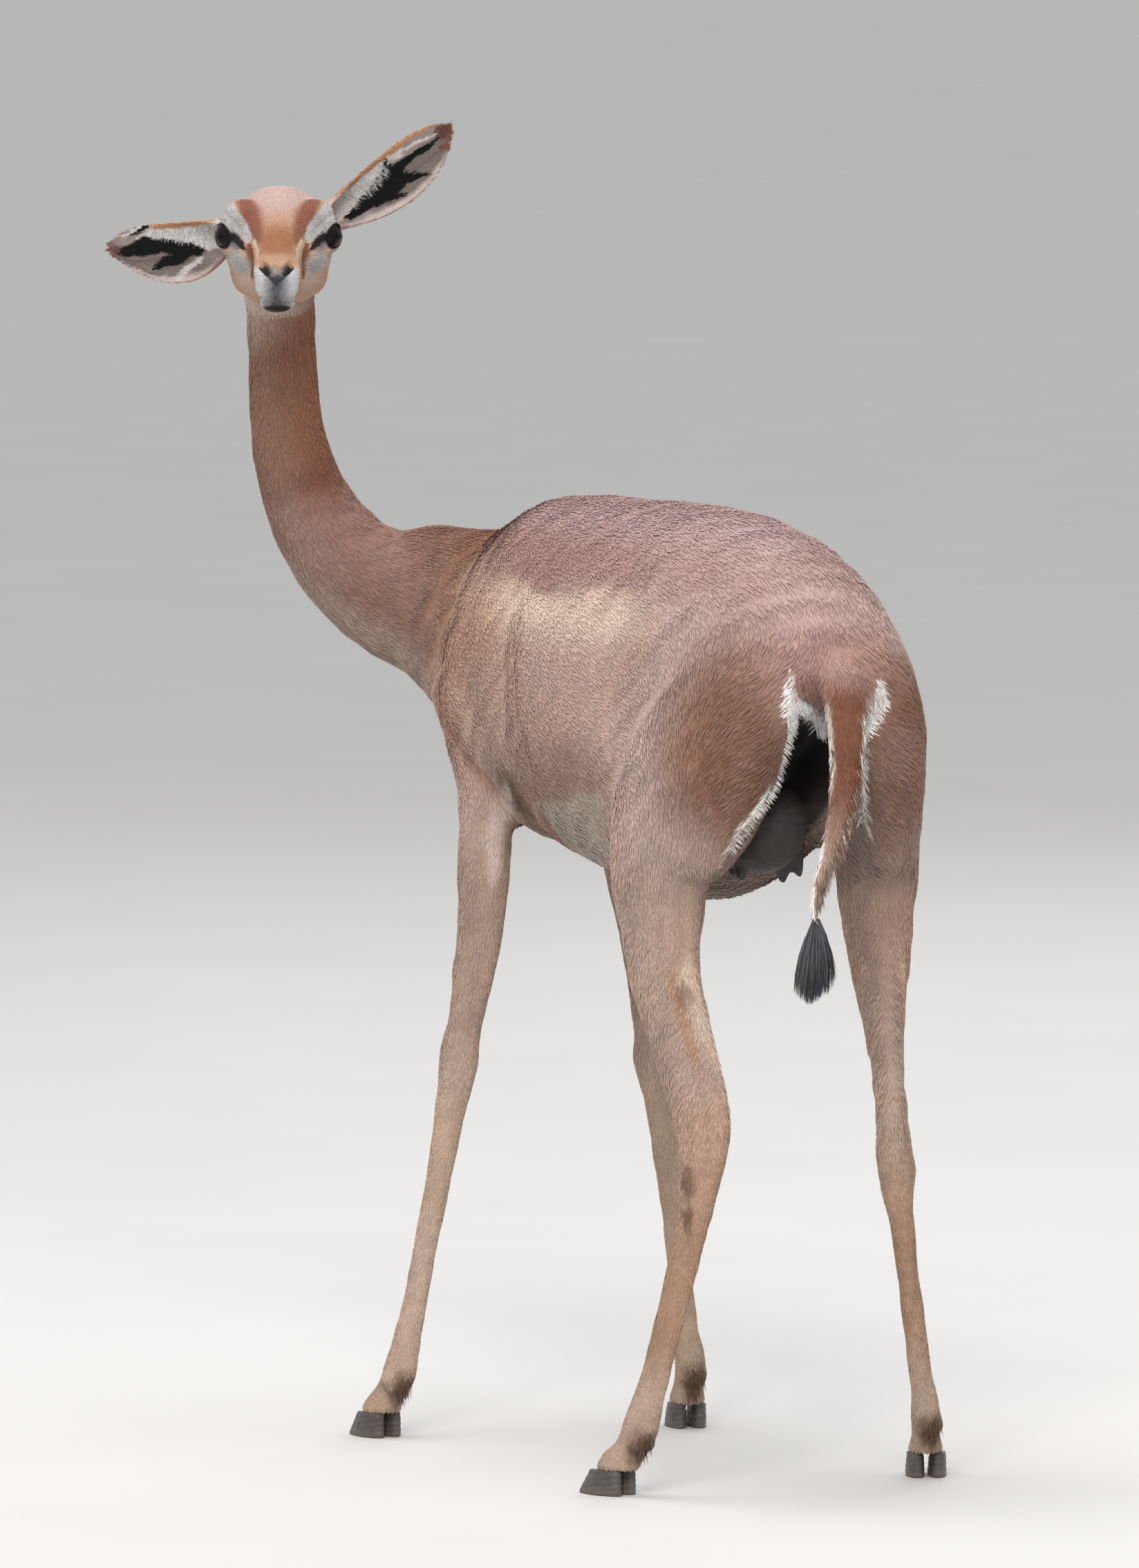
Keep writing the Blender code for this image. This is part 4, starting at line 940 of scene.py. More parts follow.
def paint_trunk(plan, fields, leg, fine, sweep):
    """Colour of neck, trunk and legs without folds and small marks. leg is the share of the legs' nodes."""
    x, y, z = plan.T
    off = np.abs(x - spine_at(y))
    folded = folded_over(plan)
    wide = noise(plan, 0.09, 1)
    low_flank_shade = 0.42 * fade(0.668, 0.74, z) * fade(0.06, 0.12, y) * ease(-0.12, -0.06, y)
    band = np.exp(-(((z - 0.836) / 0.026) ** 2)) * ease(-0.25, -0.12, y) * fade(0.09, 0.21, y)
    border = np.interp(y, BORDER_ALONG, BORDER_HEIGHT)
    soft = 0.006 + 0.03 * ease(0.09, 0.24, y) + 0.02 * fade(-0.22, -0.1, y)
    saddle = ease(-1, 1, (z - border - 0.003 * fine) / soft) * (1 - 0.35 * ease(0.14, 0.32, y))
    saddle = saddle * (0.86 + 0.3 * sweep * ease(-0.2, 0.0, y)) * ease(-0.4, -0.28, y)
    crest = ease(0.845, 0.88, z) * ease(-0.42, -0.37, y) * fade(-0.29, -0.22, y)
    neck = np.clip(fields[:, ON_HEAD] + fields[:, ON_NECK], 0, 1) * ease(-0.3, -0.385, y + 0.25 * (z - 0.85))
    nape = neck * ease(0.0, 0.055, (z - 0.8) + 0.9 * (y + 0.45)) * fade(0.95, 1.02, z)
    # Where painted shade falls, where the forelegs join the chest and under the chest.
    armpit_shade = np.maximum(
        blob(folded, (0.088, -0.15, 0.645), (0.04, 0.045, 0.045), 0.6),
        blob(folded, (0.0, -0.16, 0.6), (0.09, 0.09, 0.05), 0.5),
    )
    under_line = np.interp(y, BELLY_ALONG, BELLY_HEIGHT)
    under = fade(-0.004, 0.007, z - under_line - 0.003 * fine) * ease(-0.085, -0.055, y)
    flank = ease(0.096, 0.112, y) * ease(0.04, 0.06, off)
    under = under * (1 - flank)
    under = under * fade(0.12, 0.17, y) * (1 - leg)
    chest = fade(0.03, 0.06, off) * ease(-0.21, -0.17, y) * fade(-0.08, -0.05, y)
    chest = chest * fade(0.66, 0.69, z)
    thigh = 0.95 + 0.14 * streaks(plan, (1, 0, 0.1), (0, 0.3, 1), 0.022, 0.0026, 7)
    leg = lower_leg(leg, z)
    cannon = ease(0.1, 0.16, z) * fade(0.22, 0.34, z) * ease(0.15, 0.25, y)
    marks = [
        (RUMP, ease(0.08, 0.24, y)),
        # Painted shade on the lower flank, where it turns under.
        (LOW_FLANK_SHADE, low_flank_shade),
        (LOW_FLANK_SHADE, blob(folded, (0.115, 0.055, 0.69), (0.06, 0.05, 0.03), 0.7) * 0.5),
        (BAND, band * 0.95),
        (SADDLE, saddle),
        (SHEEN, ease(0.895, 0.925, z) * ease(-0.24, -0.1, y) * 0.35),
        (NAPE, crest * 0.75),
        (NECK, neck),
        # Painted shade of the head over the upper neck.
        (UPPER_NECK_SHADE, neck * ease(0.91, 1.02, z) * 0.92),
        (NAPE, nape * 0.7),
        (upper_neck(plan), neck * ease(1.05, 1.13, z)),
        (NAPE_RUST, near(plan, NAPE_LINE, 0.034, 0.9) * ease(-0.27, -0.36, y) * 0.8),
        # Painted shadow at the base of the neck.
        (NECK_BASE_SHADE, blob(plan, (0.06, -0.352, 0.868), (0.05, 0.045, 0.045), 0.8) * 0.55),
        # Painted shade along the border of neck and shoulder.
        (SHOULDER_EDGE_SHADE, near(plan, SHOULDER_LINE, 0.026, 0.9) * 0.5),
        # Painted shade where the forelegs join the chest.
        (ARMPIT_SHADE, armpit_shade * fade(0.655, 0.69, z) * 0.85),
        # Pale belly and chest, darkened as painted shade under the body.
        (BELLY, under),
        (BELLY, chest * 0.85),
        (THIGH, blob(plan, (0.068, 0.305, 0.722), (0.064, 0.09, 0.12), 0.55) * 0.98 * thigh),
        (THIGH, blob(plan, (-0.105, 0.332, 0.738), (0.05, 0.08, 0.058), 0.55) * thigh),
        (THIGH, blob(plan, (-0.107, 0.318, 0.685), (0.056, 0.08, 0.112), 0.55) * 0.92 * thigh),
        (TAIL_ROOT, blob(plan, (-0.03, 0.34, 0.805), (0.065, 0.06, 0.045), 0.7) * 0.65),
        # Painted shade on the inner right thigh, in the cleft between the thighs.
        (THIGH_CLEFT_SHADE, blob(plan, (-0.064, 0.25, 0.615), (0.03, 0.09, 0.08), 0.6) * 0.8),
        (LEG, leg),
        (SHIN, leg * fade(0.3, 0.42, z)),
        (FAR_THIGH, blob(plan, (-0.155, 0.305, 0.6), (0.045, 0.09, 0.12), 0.9) * 0.5),
        # Painted shade in the groin under the udder.
        (GROIN_SHADE, blob(plan, (-0.01, 0.19, 0.6), (0.08, 0.11, 0.062), 0.7) * 0.8),
        (CANNON, leg * cannon * 0.55),
        (WARM, 0.3 * ease(0.0, 0.8, wide)),
        (COOL, 0.2 * ease(0.0, 0.8, -wide)),
    ]
    return layers(plain(FLANK, plan), marks)


def lower_leg(leg, z):
    """The share of the legs' nodes below the thighs."""
    return leg * fade(0.56, 0.68, z)


def paint_body(plan, fields):
    """Colour and bareness of neck, trunk, legs and tail at plan points."""
    x, y, z = plan.T
    folded = folded_over(plan)
    fine = noise(plan, 0.016, 2)
    sweep = flank_streaks(plan, 0.055, 0.009)
    leg, tail = np.clip(fields[:, ON_LEG : ON_TAIL + 1], 0, 1).T
    colour = paint_trunk(plan, fields, leg, fine, sweep) * (1 + 0.05 * fine + 0.04 * sweep)[:, None]
    # Painted shade in the creases and painted highlight on the ridges.
    for rows, tint in ((CREASES, CREASE_SHADE), (RIDGES, BAND)):
        for line, width, share, _ in rows:
            colour = lay(colour, tint, near(folded, line, width, 0.7) * share)
    colour = paint_legs(colour, plan, lower_leg(leg, z))
    cleft = ease(-0.064, -0.058, x) * fade(0.015, 0.02, x - 0.3 * np.maximum(0.7 - z, 0))
    cleft = cleft * ease(0.15, 0.19, y) * fade(0.754, 0.764, z) * ease(0.55, 0.6, z) * (1 - tail)
    loose = plan + 0.0015 * fine[:, None]
    near_edge, arch = (stroke(loose, rows, 0.4) * ease(0.57, 0.68, z) for rows in (EDGE_LEFT, ARCH))
    middle = np.interp(z, [0.545, 0.6, 0.63, 0.7, 0.79], [0.019, 0.015, 0.002, -0.021, -0.032])
    half = np.interp(z, [0.545, 0.6, 0.66, 0.745, 0.79], [0.004, 0.006, 0.012, 0.021, 0.025])
    edge = np.abs(x - middle) / half
    tail_colour = lay(plain(TAIL, plan), LEG, fade(0.6, 0.7, z))
    tail_colour = tail_colour * (1 + 0.22 * noise(plan, 0.004, 12))[:, None]
    tail_edge = ease(0.66, 0.98, edge + 0.12 * fine) * fade(0.75, 0.79, z)
    marks = [
        (lay(plain(BLACK_SKIN, plan), UDDER, fade(0.655, 0.705, z)), cleft),
        (WHITE, near_edge),
        (WHITE, arch),
        (WHITE, stroke(loose, EDGE_RIGHT, 0.5) * ease(0.58, 0.76, z + 0.02)),
        (lay(tail_colour, WHITE, tail_edge), tail * fade(0.775, 0.8, z)),
    ]
    return layers(colour, marks), cleft * (1 - near_edge) * (1 - arch) * 0.8


SCUFFS = [
    ((0.085, -0.312, 0.338), (0.01, 0.012, 0.022), 0.8),
    ((0.063, -0.3, 0.378), (0.022, 0.016, 0.004), 0.4),
    ((0.098, 0.268, 0.488), (0.006, 0.012, 0.015), 0.55),
    ((0.084, 0.285, 0.508), (0.006, 0.01, 0.016), 0.3),
    ((0.115, 0.308, 0.312), (0.007, 0.012, 0.018), 0.65),
    ((0.112, 0.302, 0.276), (0.003, 0.01, 0.018), 0.75),
    ((-0.118, -0.268, 0.372), (0.014, 0.012, 0.016), 0.4),
]
# Middle of each foot behind the pastern.
HEELS = [(0.14, -0.272), (-0.15, -0.212), (0.136, 0.262), (-0.174, 0.262)]
INNER = [
    (0.088, -0.155, 0.655, 0.007),
    (0.07, -0.212, 0.627, 0.011),
    (0.066, -0.226, 0.598, 0.011),
    (0.065, -0.231, 0.555, 0.006),
]
SHANK = [(-0.14, 0.262, 0.56), (-0.146, 0.262, 0.5), (-0.14, 0.296, 0.44), (-0.128, 0.325, 0.38)]


def paint_legs(colour, plan, leg):
    """Whitish inner streak, painted highlight on the ridge of the hind shank with painted shade beside it,
    scuffs, and the brown patch round the dewclaws.
    """
    rows = streaks(plan, (0, 0, 1), (1, 0, 0), 0.06, 0.006, 14)
    loose = plan + np.column_stack([noise(plan, 0.007, seed) for seed in (5, 15, 25)]) * 0.004
    far_inner = [(-a - 0.012, b + 0.012, c, half) for a, b, c, half in INNER]
    far_shank = [(-a - 0.055, b, c) for a, b, c in SHANK]
    marks = [(INNER_STREAK, stroke(plan, line, 0.6) * 0.65) for line in (INNER, far_inner)]
    # Painted highlight along each shank's ridge and painted shade beside it.
    for line, way in ((SHANK, 1), (far_shank, -1)):
        beside = [(a - 0.016 * way, b - 0.006, c) for a, b, c in line]
        marks.append((SHANK_HIGHLIGHT, near(plan, line, 0.008, 0.7) * 0.6))
        marks.append((SHANK_SHADE, near(plan, beside, 0.006, 0.7) * 0.5))
    for spot, radii, share in SCUFFS:
        marks.append((SCUFF, blob(loose, spot, radii, 0.5) * share))
    for heel in HEELS:
        marks.append((DEWCLAWS, blob(loose, (*heel, 0.044), (0.02, 0.016, 0.022), 0.5) * 0.85))
    return layers(colour * (1 + 0.1 * rows * leg)[:, None], marks)


def paint(plan, normals, fields, ears):
    """Colour and bareness of the whole skin. ears gives, per point, which ear it may lie on."""
    colour, bare = paint_body(plan, fields)
    head = in_head(plan)
    face, face_bare = paint_head(head, plan)
    on_head = np.clip(fields[:, ON_HEAD] + fields[:, ON_EAR], 0, 1) * ease(-0.008, 0.012, head[:, 1])
    colour, bare = lay(colour, face, on_head), bare + (face_bare - bare) * on_head
    turned = normals @ HEAD_TURNED
    for index, name in enumerate(("ear_left", "ear_right")):
        mask = (ears == index + 1) & (fields[:, ON_EAR] > 0.02)
        if mask.any():
            tone = paint_ear(name, head[mask], turned[mask] @ EAR[name].faces, plan[mask])
            colour[mask] = lay(colour[mask], tone, fields[mask, ON_EAR] * 1.4)
            bare[mask] = 0.0
    return np.clip(colour, 0.004, 0.95), np.clip(bare, 0, 1)


def store_colour(obj, colour, bare=None):
    mesh = obj.data
    layer = mesh.color_attributes.new("Coat", "FLOAT_COLOR", "POINT")
    opaque = np.column_stack([colour, np.ones(len(colour))])
    layer.data.foreach_set("color", opaque.astype(np.float32).ravel())
    if bare is not None:
        mask = mesh.attributes.new("Bare", "FLOAT", "POINT")
        mask.data.foreach_set("value", bare.astype(np.float32))


class Shader:
    """Short names for building one node material."""

    def __init__(self, name):
        self.material = bpy.data.materials.new(name)
        self.material.use_nodes = True
        self.tree = self.material.node_tree
        self.inputs = self.tree.nodes["Principled BSDF"].inputs

    def node(self, kind, **values):
        """A node with sockets or settings of these names, where _ stands for a space in a socket's name."""
        made = self.tree.nodes.new("ShaderNode" + kind)
        for key, value in values.items():
            socket = key.replace("_", " ")
            if socket in made.inputs:
                made.inputs[socket].default_value = value
            else:
                setattr(made, key, value)
        return made

    def link(self, source, target):
        self.tree.links.new(source, target)

    def attribute(self, name):
        return self.node("Attribute", attribute_name=name).outputs

    def noise(self, scale, detail, roughness=0.6):
        made = self.node("TexNoise", Scale=scale, Detail=detail, Roughness=roughness)
        self.link(self.node("TexCoord").outputs["Object"], made.inputs["Vector"])
        return made.outputs["Fac"]

    def ranged(self, value, low, high, start=0.25, end=0.75):
        made = self.node("MapRange", From_Min=start, From_Max=end, To_Min=low, To_Max=high)
        self.link(value, made.inputs["Value"])
        return made.outputs["Result"]

    def uneven(self, scale, detail, low, high):
        """A number that varies from low to high."""
        return self.ranged(self.noise(scale, detail), low, high)

    def bump(self, height, distance, strength):
        made = self.node("Bump", Distance=distance, Strength=strength)
        self.link(height, made.inputs["Height"])
        self.link(made.outputs["Normal"], self.inputs["Normal"])

    def fixed(self, **values):
        for key, value in values.items():
            self.inputs[key.replace("_", " ")].default_value = value


def coated(name, tint, rough, bump=None, **fixed):
    """A material that shows the stored colour. tint and rough give noise and range, bump noise and height."""
    shader = Shader(name)
    varied = shader.node("VectorMath", operation="SCALE")
    shader.link(shader.attribute("Coat")["Color"], varied.inputs[0])
    shader.link(shader.uneven(*tint), varied.inputs["Scale"])
    shader.link(varied.outputs["Vector"], shader.inputs["Base Color"])
    if rough:
        shader.link(shader.uneven(*rough), shader.inputs["Roughness"])
    else:
        bare = shader.ranged(shader.attribute("Bare")["Fac"], 0.82, 0.4, 0, 1)
        shader.link(bare, shader.inputs["Roughness"])
    if bump:
        shader.bump(shader.noise(*bump[:3]), *bump[3:])
    shader.fixed(**fixed)
    return shader.material


def fur_material(name, rough):
    """Hair of one mean roughness."""
    shine, bump = (300, 2, rough - 0.06, rough + 0.08), (2400, 2, 0.6, 0.0002, 0.5)
    return coated(name, (700, 2, 0.9, 1.1), shine, bump, Specular_IOR_Level=0.16)


def around(plan, centre_line):
    """Angle round a line of (z, x, y) places and the share of the way up it."""
    rows = np.array(centre_line)
    x = np.interp(plan[:, 2], rows[:, 0], rows[:, 1])
    y = np.interp(plan[:, 2], rows[:, 0], rows[:, 2])
    angle = np.arctan2(plan[:, 1] - y, plan[:, 0] - x) / (2 * np.pi) + 0.5
    return angle, (plan[:, 2] - rows[0, 0]) / (rows[-1, 0] - rows[0, 0])


# Middle lines of legs, tail and neck for the map, as height, across and along.
LEG_LINES = {
    "fore_left": [
        (0.0, 0.152, -0.306),
        (0.108, 0.13, -0.289),
        (0.37, 0.073, -0.296),
        (0.66, 0.064, -0.252),
    ],
    "fore_right": [
        (0.0, -0.155, -0.246),
        (0.108, -0.145, -0.23),
        (0.37, -0.118, -0.25),
        (0.66, -0.071, -0.238),
    ],
    "hind_left": [
        (0.0, 0.147, 0.222),
        (0.125, 0.1235, 0.262),
        (0.339, 0.097, 0.3),
        (0.49, 0.094, 0.222),
        (0.7, 0.07, 0.2),
    ],
    "hind_right": [
        (0.0, -0.185, 0.222),
        (0.124, -0.156, 0.263),
        (0.335, -0.107, 0.3),
        (0.49, -0.138, 0.222),
        (0.7, -0.13, 0.2),
    ],
}
TAIL_LINE = [
    (0.545, 0.019, 0.392),
    (0.6, 0.015, 0.39),
    (0.66, -0.012, 0.378),
    (0.745, -0.028, 0.362),
    (0.84, -0.034, 0.3),
]
NECK_ROWS = [
    (0.7, 0.01, -0.34),
    (0.8, 0.03, -0.4),
    (0.888, 0.134, -0.484),
    (0.95, 0.163, -0.485),
    (1.15, 0.19, -0.46),
]


def unwrap(node, plan, normals):
    """Place of each point on a flat map of its own node, 0 to 1 each way."""
    if node == "torso":
        angle = np.arctan2(plan[:, 0] - spine_at(plan[:, 1]), plan[:, 2] - 0.755) / (2 * np.pi) + 0.5
        return np.column_stack([angle, (plan[:, 1] + 0.43) / 0.8])
    if node == "head":
        head = in_head(plan)
        angle = np.arctan2(head[:, 0], head[:, 2]) / (2 * np.pi) + 0.5
        return np.column_stack([angle, (head[:, 1] + 0.01) / 0.25])
    if node in EAR:
        share, across = EAR[node].read(in_head(plan))
        inner = (normals @ HEAD_TURNED) @ EAR[node].faces > 0
        return np.column_stack([(across + 1.2) / 4.8 + 0.5 * inner, share])
    if node == "tail":
        return np.column_stack(around(plan, TAIL_LINE))
    if node.startswith("neck"):
        return np.column_stack(around(plan, NECK_ROWS))
    return np.column_stack(around(plan, LEG_LINES["_".join(node.split("_")[:2])]))


def map_cells(owner, plan, normals, nodes):
    """OFBake places for the roots of one piece, each node in a cell of its own."""
    columns = math.ceil(math.sqrt(len(nodes)))
    rows = math.ceil(len(nodes) / columns)
    uv = np.zeros((len(plan), 2))
    for k, node in enumerate(nodes):
        mask = owner == FLESH.index(node)
        if mask.any():
            flat = np.clip(unwrap(node, plan[mask], normals[mask]), 0.012, 0.988)
            uv[mask] = (flat + np.array((k % columns, k // columns))) / np.array((columns, rows))
    return uv


PATCH = 0.003  # size of a tuft's patch on the map
RINGS = 5  # cross sections of a lock
FLATNESS = 0.4  # a lock's thickness as a share of its width


def write_map(obj, uv, corners_uv, triangles):
    """OFBake: every tuft's faces lie in a small patch at the place of its root."""
    layer = obj.data.uv_layers.new(name="OFBake")
    flat = uv + corners_uv * PATCH
    layer.data.foreach_set("uv", flat[triangles.ravel()].astype(np.float32).ravel())


def make_tufts(name, roots, normals, lie, length, width, rise, colour, uv, draw):
    """Short flat tufts: each a closed sliver that leaves the skin, crowns and comes to a tip."""
    n = len(roots)
    side = unit(np.cross(normals, lie))
    swing = draw.normal(0, 0.13, n)[:, None]
    lie = unit(lie + side * swing)
    side = unit(np.cross(normals, lie))
    length = (length * draw.uniform(0.75, 1.25, n))[:, None]
    width = (width * draw.uniform(0.75, 1.2, n))[:, None]
    rise = (rise * draw.uniform(0.6, 1.25, n))[:, None]
    bend = draw.uniform(-0.06, 0.06, n)[:, None] * length
    root = roots - normals * 0.0005
    belly = roots + lie * (0.42 * length) + side * (bend * 0.3) + normals * (rise * 0.45)
    left = belly + side * (width * 0.5)
    right = belly - side * (width * 0.5)
    crown = belly + normals * (width * 0.16 + 0.0001)
    tip = roots + lie * length + side * bend + normals * rise
    co = np.stack([root, left, right, crown, tip], axis=1).reshape(-1, 3)
    pattern = np.array([(0, 2, 3), (0, 3, 1), (4, 3, 2), (4, 1, 3), (0, 1, 2), (4, 2, 1)])
    triangles = (pattern[None] + (np.arange(n) * 5)[:, None, None]).reshape(-1, 3)
    obj = mesh_from(name, co + OFFSET, triangles, smooth=False)
    shade = np.array([0.9, 0.98, 0.98, 1.0, 1.07])
    tone = draw.normal(1.0, 0.06, n)[:, None]
    warmth = draw.normal(0, 0.02, n)[:, None] * np.array((1.0, 0.0, -1.0))
    colours = np.clip(colour * tone * (1 + warmth), 0.004, 0.95)[:, None, :] * shade[None, :, None]
    store_colour(obj, np.clip(colours, 0.003, 0.95).reshape(-1, 3))
    patch = np.array([(-0.5, 0), (-0.1, 0.5), (-0.1, -0.5), (0, 0), (0.5, 0)])
    write_map(obj, np.repeat(uv, 5, axis=0), np.tile(patch, (n, 1)), triangles)
    return obj


def make_strands(name, roots, start, end, length, width, colour, tip_colour, uv, draw):
    """Longer curved locks: each leaves along start and bends towards end, tapering to its tip."""
    n = len(roots)
    start, end = unit(start), unit(end)
    facing = unit(np.cross(start, end + draw.normal(0, 0.35, (n, 3))))
    co, colours, patch = [], [], []
    for t in np.arange(RINGS) / (RINGS - 1):
        along = start * (t - 0.5 * t * t) + end * (0.5 * t * t)
        centre = roots + along * length[:, None]
        ahead = unit(start * (1 - t) + end * t)
        side = unit(np.cross(ahead, facing))
        fall = unit(np.cross(side, ahead))
        taper = (1 - t**1.6) * 0.92 + 0.08
        half = (width * taper * (0.75 + 0.25 * min(t * 4, 1)))[:, None]
        for angle in (90, 210, 330):
            c, s = math.cos(math.radians(angle)), math.sin(math.radians(angle))
            co.append(centre + side * (half * c) + fall * (half * s * FLATNESS))
            colours.append(colour + (tip_colour - colour) * t)
            patch.append((t - 0.5, 0.4 * c))
    per = RINGS * 3
    co = np.stack(co, axis=1).reshape(-1, 3)
    colours = np.stack(colours, axis=1) * draw.normal(1.0, 0.1, n)[:, None, None]
    faces = [(0, 1, 2), (per - 1, per - 2, per - 3)]
    for k in range(RINGS - 1):
        for j in range(3):
            a, b = k * 3 + j, k * 3 + (j + 1) % 3
            faces += [(a, a + 3, b), (b, a + 3, b + 3)]
    triangles = (np.array(faces)[None] + (np.arange(n) * per)[:, None, None]).reshape(-1, 3)
    obj = mesh_from(name, co + OFFSET, triangles)
    store_colour(obj, np.clip(colours, 0.003, 0.95).reshape(-1, 3))
    write_map(obj, np.repeat(uv, per, axis=0), np.tile(np.array(patch), (n, 1)), triangles)
    return obj


def placed(obj, material, replaces=()):
    """Material in its slot, body and, where it stands for CAD nodes, hides them."""
    obj.data.materials.clear()
    obj.data.materials.append(material)
    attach(obj, RIGID)
    if replaces:
        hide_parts(*replaces)
    return obj


def mound(away, reach):
    """1 at distance 0, falling off like a bell over reach."""
    return np.exp(-((away / reach) ** 2))


def sculpt_head(local, turned):
    """How far lips, nostrils, ear cups and lids rise at points near the head, given with their normals."""
    folded = np.column_stack([np.abs(local[:, 0]), local[:, 1], local[:, 2]])
    from_lips, _ = nearest_on(folded, [row[:3] for row in LIPS])
    reach = eye_opening(local)
    rise = -0.0034 * stroke(folded, NOSTRIL, 0.4)
    rise -= 0.0014 * mound(from_lips, 0.0013)
    rise += 0.0007 * mound(from_lips - 0.004, 0.0022)
    rise -= 0.0007 * stroke(np.abs(local), [(0, 0.237, 0.0, 0.001), (0, 0.237, 0.001, 0.001)], 0.5)
    for ear in EAR.values():
        share, across = ear.read(local)
        inner = ease(0.0, 0.3, turned @ ear.faces) * (local[:, 0] * ear.side > 0)
        spot = ear_spot(share, across)
        for rows in EAR_RIDGES:
            rise += 0.0012 * inner * stroke(spot, ear_rows(rows), 0.9)
    rise += 0.0006 * mound(reach - 1.12, 0.1) - 0.0009 * mound(reach - 1.45, 0.13)
    return rise


def sculpt(skin, plan, fields):
    """Creases and folds of the body, lids, lips, nostrils and the ridges in the ear cups."""
    normals = normals_of(skin)
    folded = folded_over(plan)
    move = np.zeros(len(plan))
    for rows, sign in ((CREASES, -1), (RIDGES, 1)):
        for line, width, _, depth in rows:
            away, _ = nearest_on(folded, line)
            move += sign * depth * mound(away, width * 1.3) * (1 - fields[:, ON_HEAD])
    smooth = ease(0.35, 0.7, fields[:, ON_HEAD] + fields[:, ON_EAR] + fields[:, ON_TAIL])
    move += 0.0011 * flank_streaks(plan, 0.07, 0.016) * (1 - smooth)
    head = in_head(plan)
    region = (head[:, 1] > -0.15) & (plan[:, 2] > 1.05)
    move[region] += sculpt_head(head[region], normals[region] @ HEAD_TURNED)
    moved = plan + normals * move[:, None]
    for side in (-1, 1):
        centre, facing, _, _ = eye_frame(side)
        away = head - centre
        flat = away - np.outer(away @ facing, facing)
        lid = mound(eye_opening(head) - 1.0, 0.22) * (head[:, 0] * side > 0) * (away @ facing > -0.004)
        shift = -unit(flat) * 0.0017 + facing * 0.0005
        moved = moved + (shift * lid[:, None]) @ HEAD_TURNED.T
    move_points(skin, moved + OFFSET)


# Coat pieces: the nodes whose coat they hold, and the least number of parts.
PIECES = {
    "coat_trunk": (["torso"], 3),
    "coat_neck": (["neck_lower", "neck_upper"], 1),
    "coat_head": (["head", "ear_left", "ear_right"], 1),
    "coat_forelegs": ([node for node in FLESH if node.startswith("fore_")], 1),
    "coat_hindlegs": ([node for node in FLESH if node.startswith("hind_")], 2),
    "coat_tail": (["tail"], 1),
}
MOST_TRIANGLES = 195000  # in one coat piece


def build_coat():
    """The skin with its colours, then tufts all over it."""
    skin = build_skin()
    rest, rest_normals = points_of(skin) - OFFSET, normals_of(skin)
    owner = owners(rest)
    fields = fields_of(rest, owner, edges_of(skin))
    head = in_head(rest)
    ears = np.where(head[:, 0] < 0, 1, 2)
    colour, bare = paint(rest, rest_normals, fields, ears)
    sculpt(skin, rest, fields)
    haired = fade(0.3, 0.7, bare)
    depth = fields[:, DEPTH] * haired * ease(1.25, 1.7, eye_opening(head)) * ease(0.024, 0.034, rest[:, 2])
    move_points(skin, points_of(skin) - normals_of(skin) * depth[:, None])
    # The skin under the hair is laid 7% darker, as painted shade beneath the coat.
    store_colour(skin, colour * (1 - 0.07 * haired)[:, None], bare)
    material = coated("skin", (420, 4, 0.8, 1.1), None, (900, 3, 0.7, 0.0006, 0.6), Specular_IOR_Level=0.16)
    placed(skin, material, FLESH)
    fur = fur_material("fur", 0.68)
    grow_tufts(skin, rest, rest_normals, fields, bare, owner, ears, fur)
    return skin, fur


def grow_tufts(skin, rest, rest_normals, fields, bare, owner, ears, fur):
    """Tufts at random places of the skin, coloured as it was at rest, in pieces by node."""
    draw = np.random.default_rng(5)
    co, normals = points_of(skin) - OFFSET, normals_of(skin)
    triangles = triangles_of(skin)
    first, second, third = (co[triangles[:, k]] for k in range(3))
    area = 0.5 * np.linalg.norm(np.cross(second - first, third - first), axis=1)
    shape = fields[triangles].mean(axis=1)
    wanted = area * COVER * 1.0 / (shape[:, LENGTH] * shape[:, WIDTH] * 0.5)
    wanted = wanted * (1 - bare[triangles].mean(axis=1))
    count = np.floor(wanted + draw.random(len(wanted))).astype(int)
    index = np.repeat(np.arange(len(triangles)), count)
    weights = draw.dirichlet((1, 1, 1), len(index))
    picked = triangles[index]

    def mixed(values):
        return (values[picked] * weights[:, :, None]).sum(axis=1)

    roots, normal, shape = mixed(co), unit(mixed(normals)), mixed(fields)
    which = owner[picked[:, 0]]
    tone, root_bare = paint(mixed(rest), unit(mixed(rest_normals)), shape, ears[picked[:, 0]])
    lie = shape[:, :3] - normal * (shape[:, :3] * normal).sum(axis=1)[:, None]
    lie = unit(lie + unit(shape[:, :3]) * 1e-4)
    in_face = in_head(roots)
    keep = (root_bare < 0.45) & (eye_opening(in_face) > 1.12) & (roots[:, 2] > 0.026)
    snout = ease(0.12, 0.22, in_face[:, 1]) * np.clip(shape[:, ON_HEAD], 0, 1)
    feet = fade(0.04, 0.12, roots[:, 2])
    length = shape[:, LENGTH] * (1 - 0.45 * snout) * (1 - 0.35 * feet)
    width = shape[:, WIDTH] * (1 - 0.3 * snout)
    rise = shape[:, DEPTH] * 0.62 + 0.0002
    for name, (nodes, parts) in PIECES.items():
        places = np.nonzero(keep & np.isin(which, [FLESH.index(node) for node in nodes]))[0]
        parts = max(parts, math.ceil(len(places) * 6 / MOST_TRIANGLES))
        for part in range(parts):
            at = places[part::parts]
            uv = map_cells(which[at], roots[at], normal[at], nodes)
            rows = (values[at] for values in (roots, normal, lie, length, width, rise, tone))
            placed(make_tufts(f"{name}_{part + 1}", *rows, uv, draw), fur)


RAY_REACH = 0.045
FORWARD = (0.0, -1.0, 0.0)


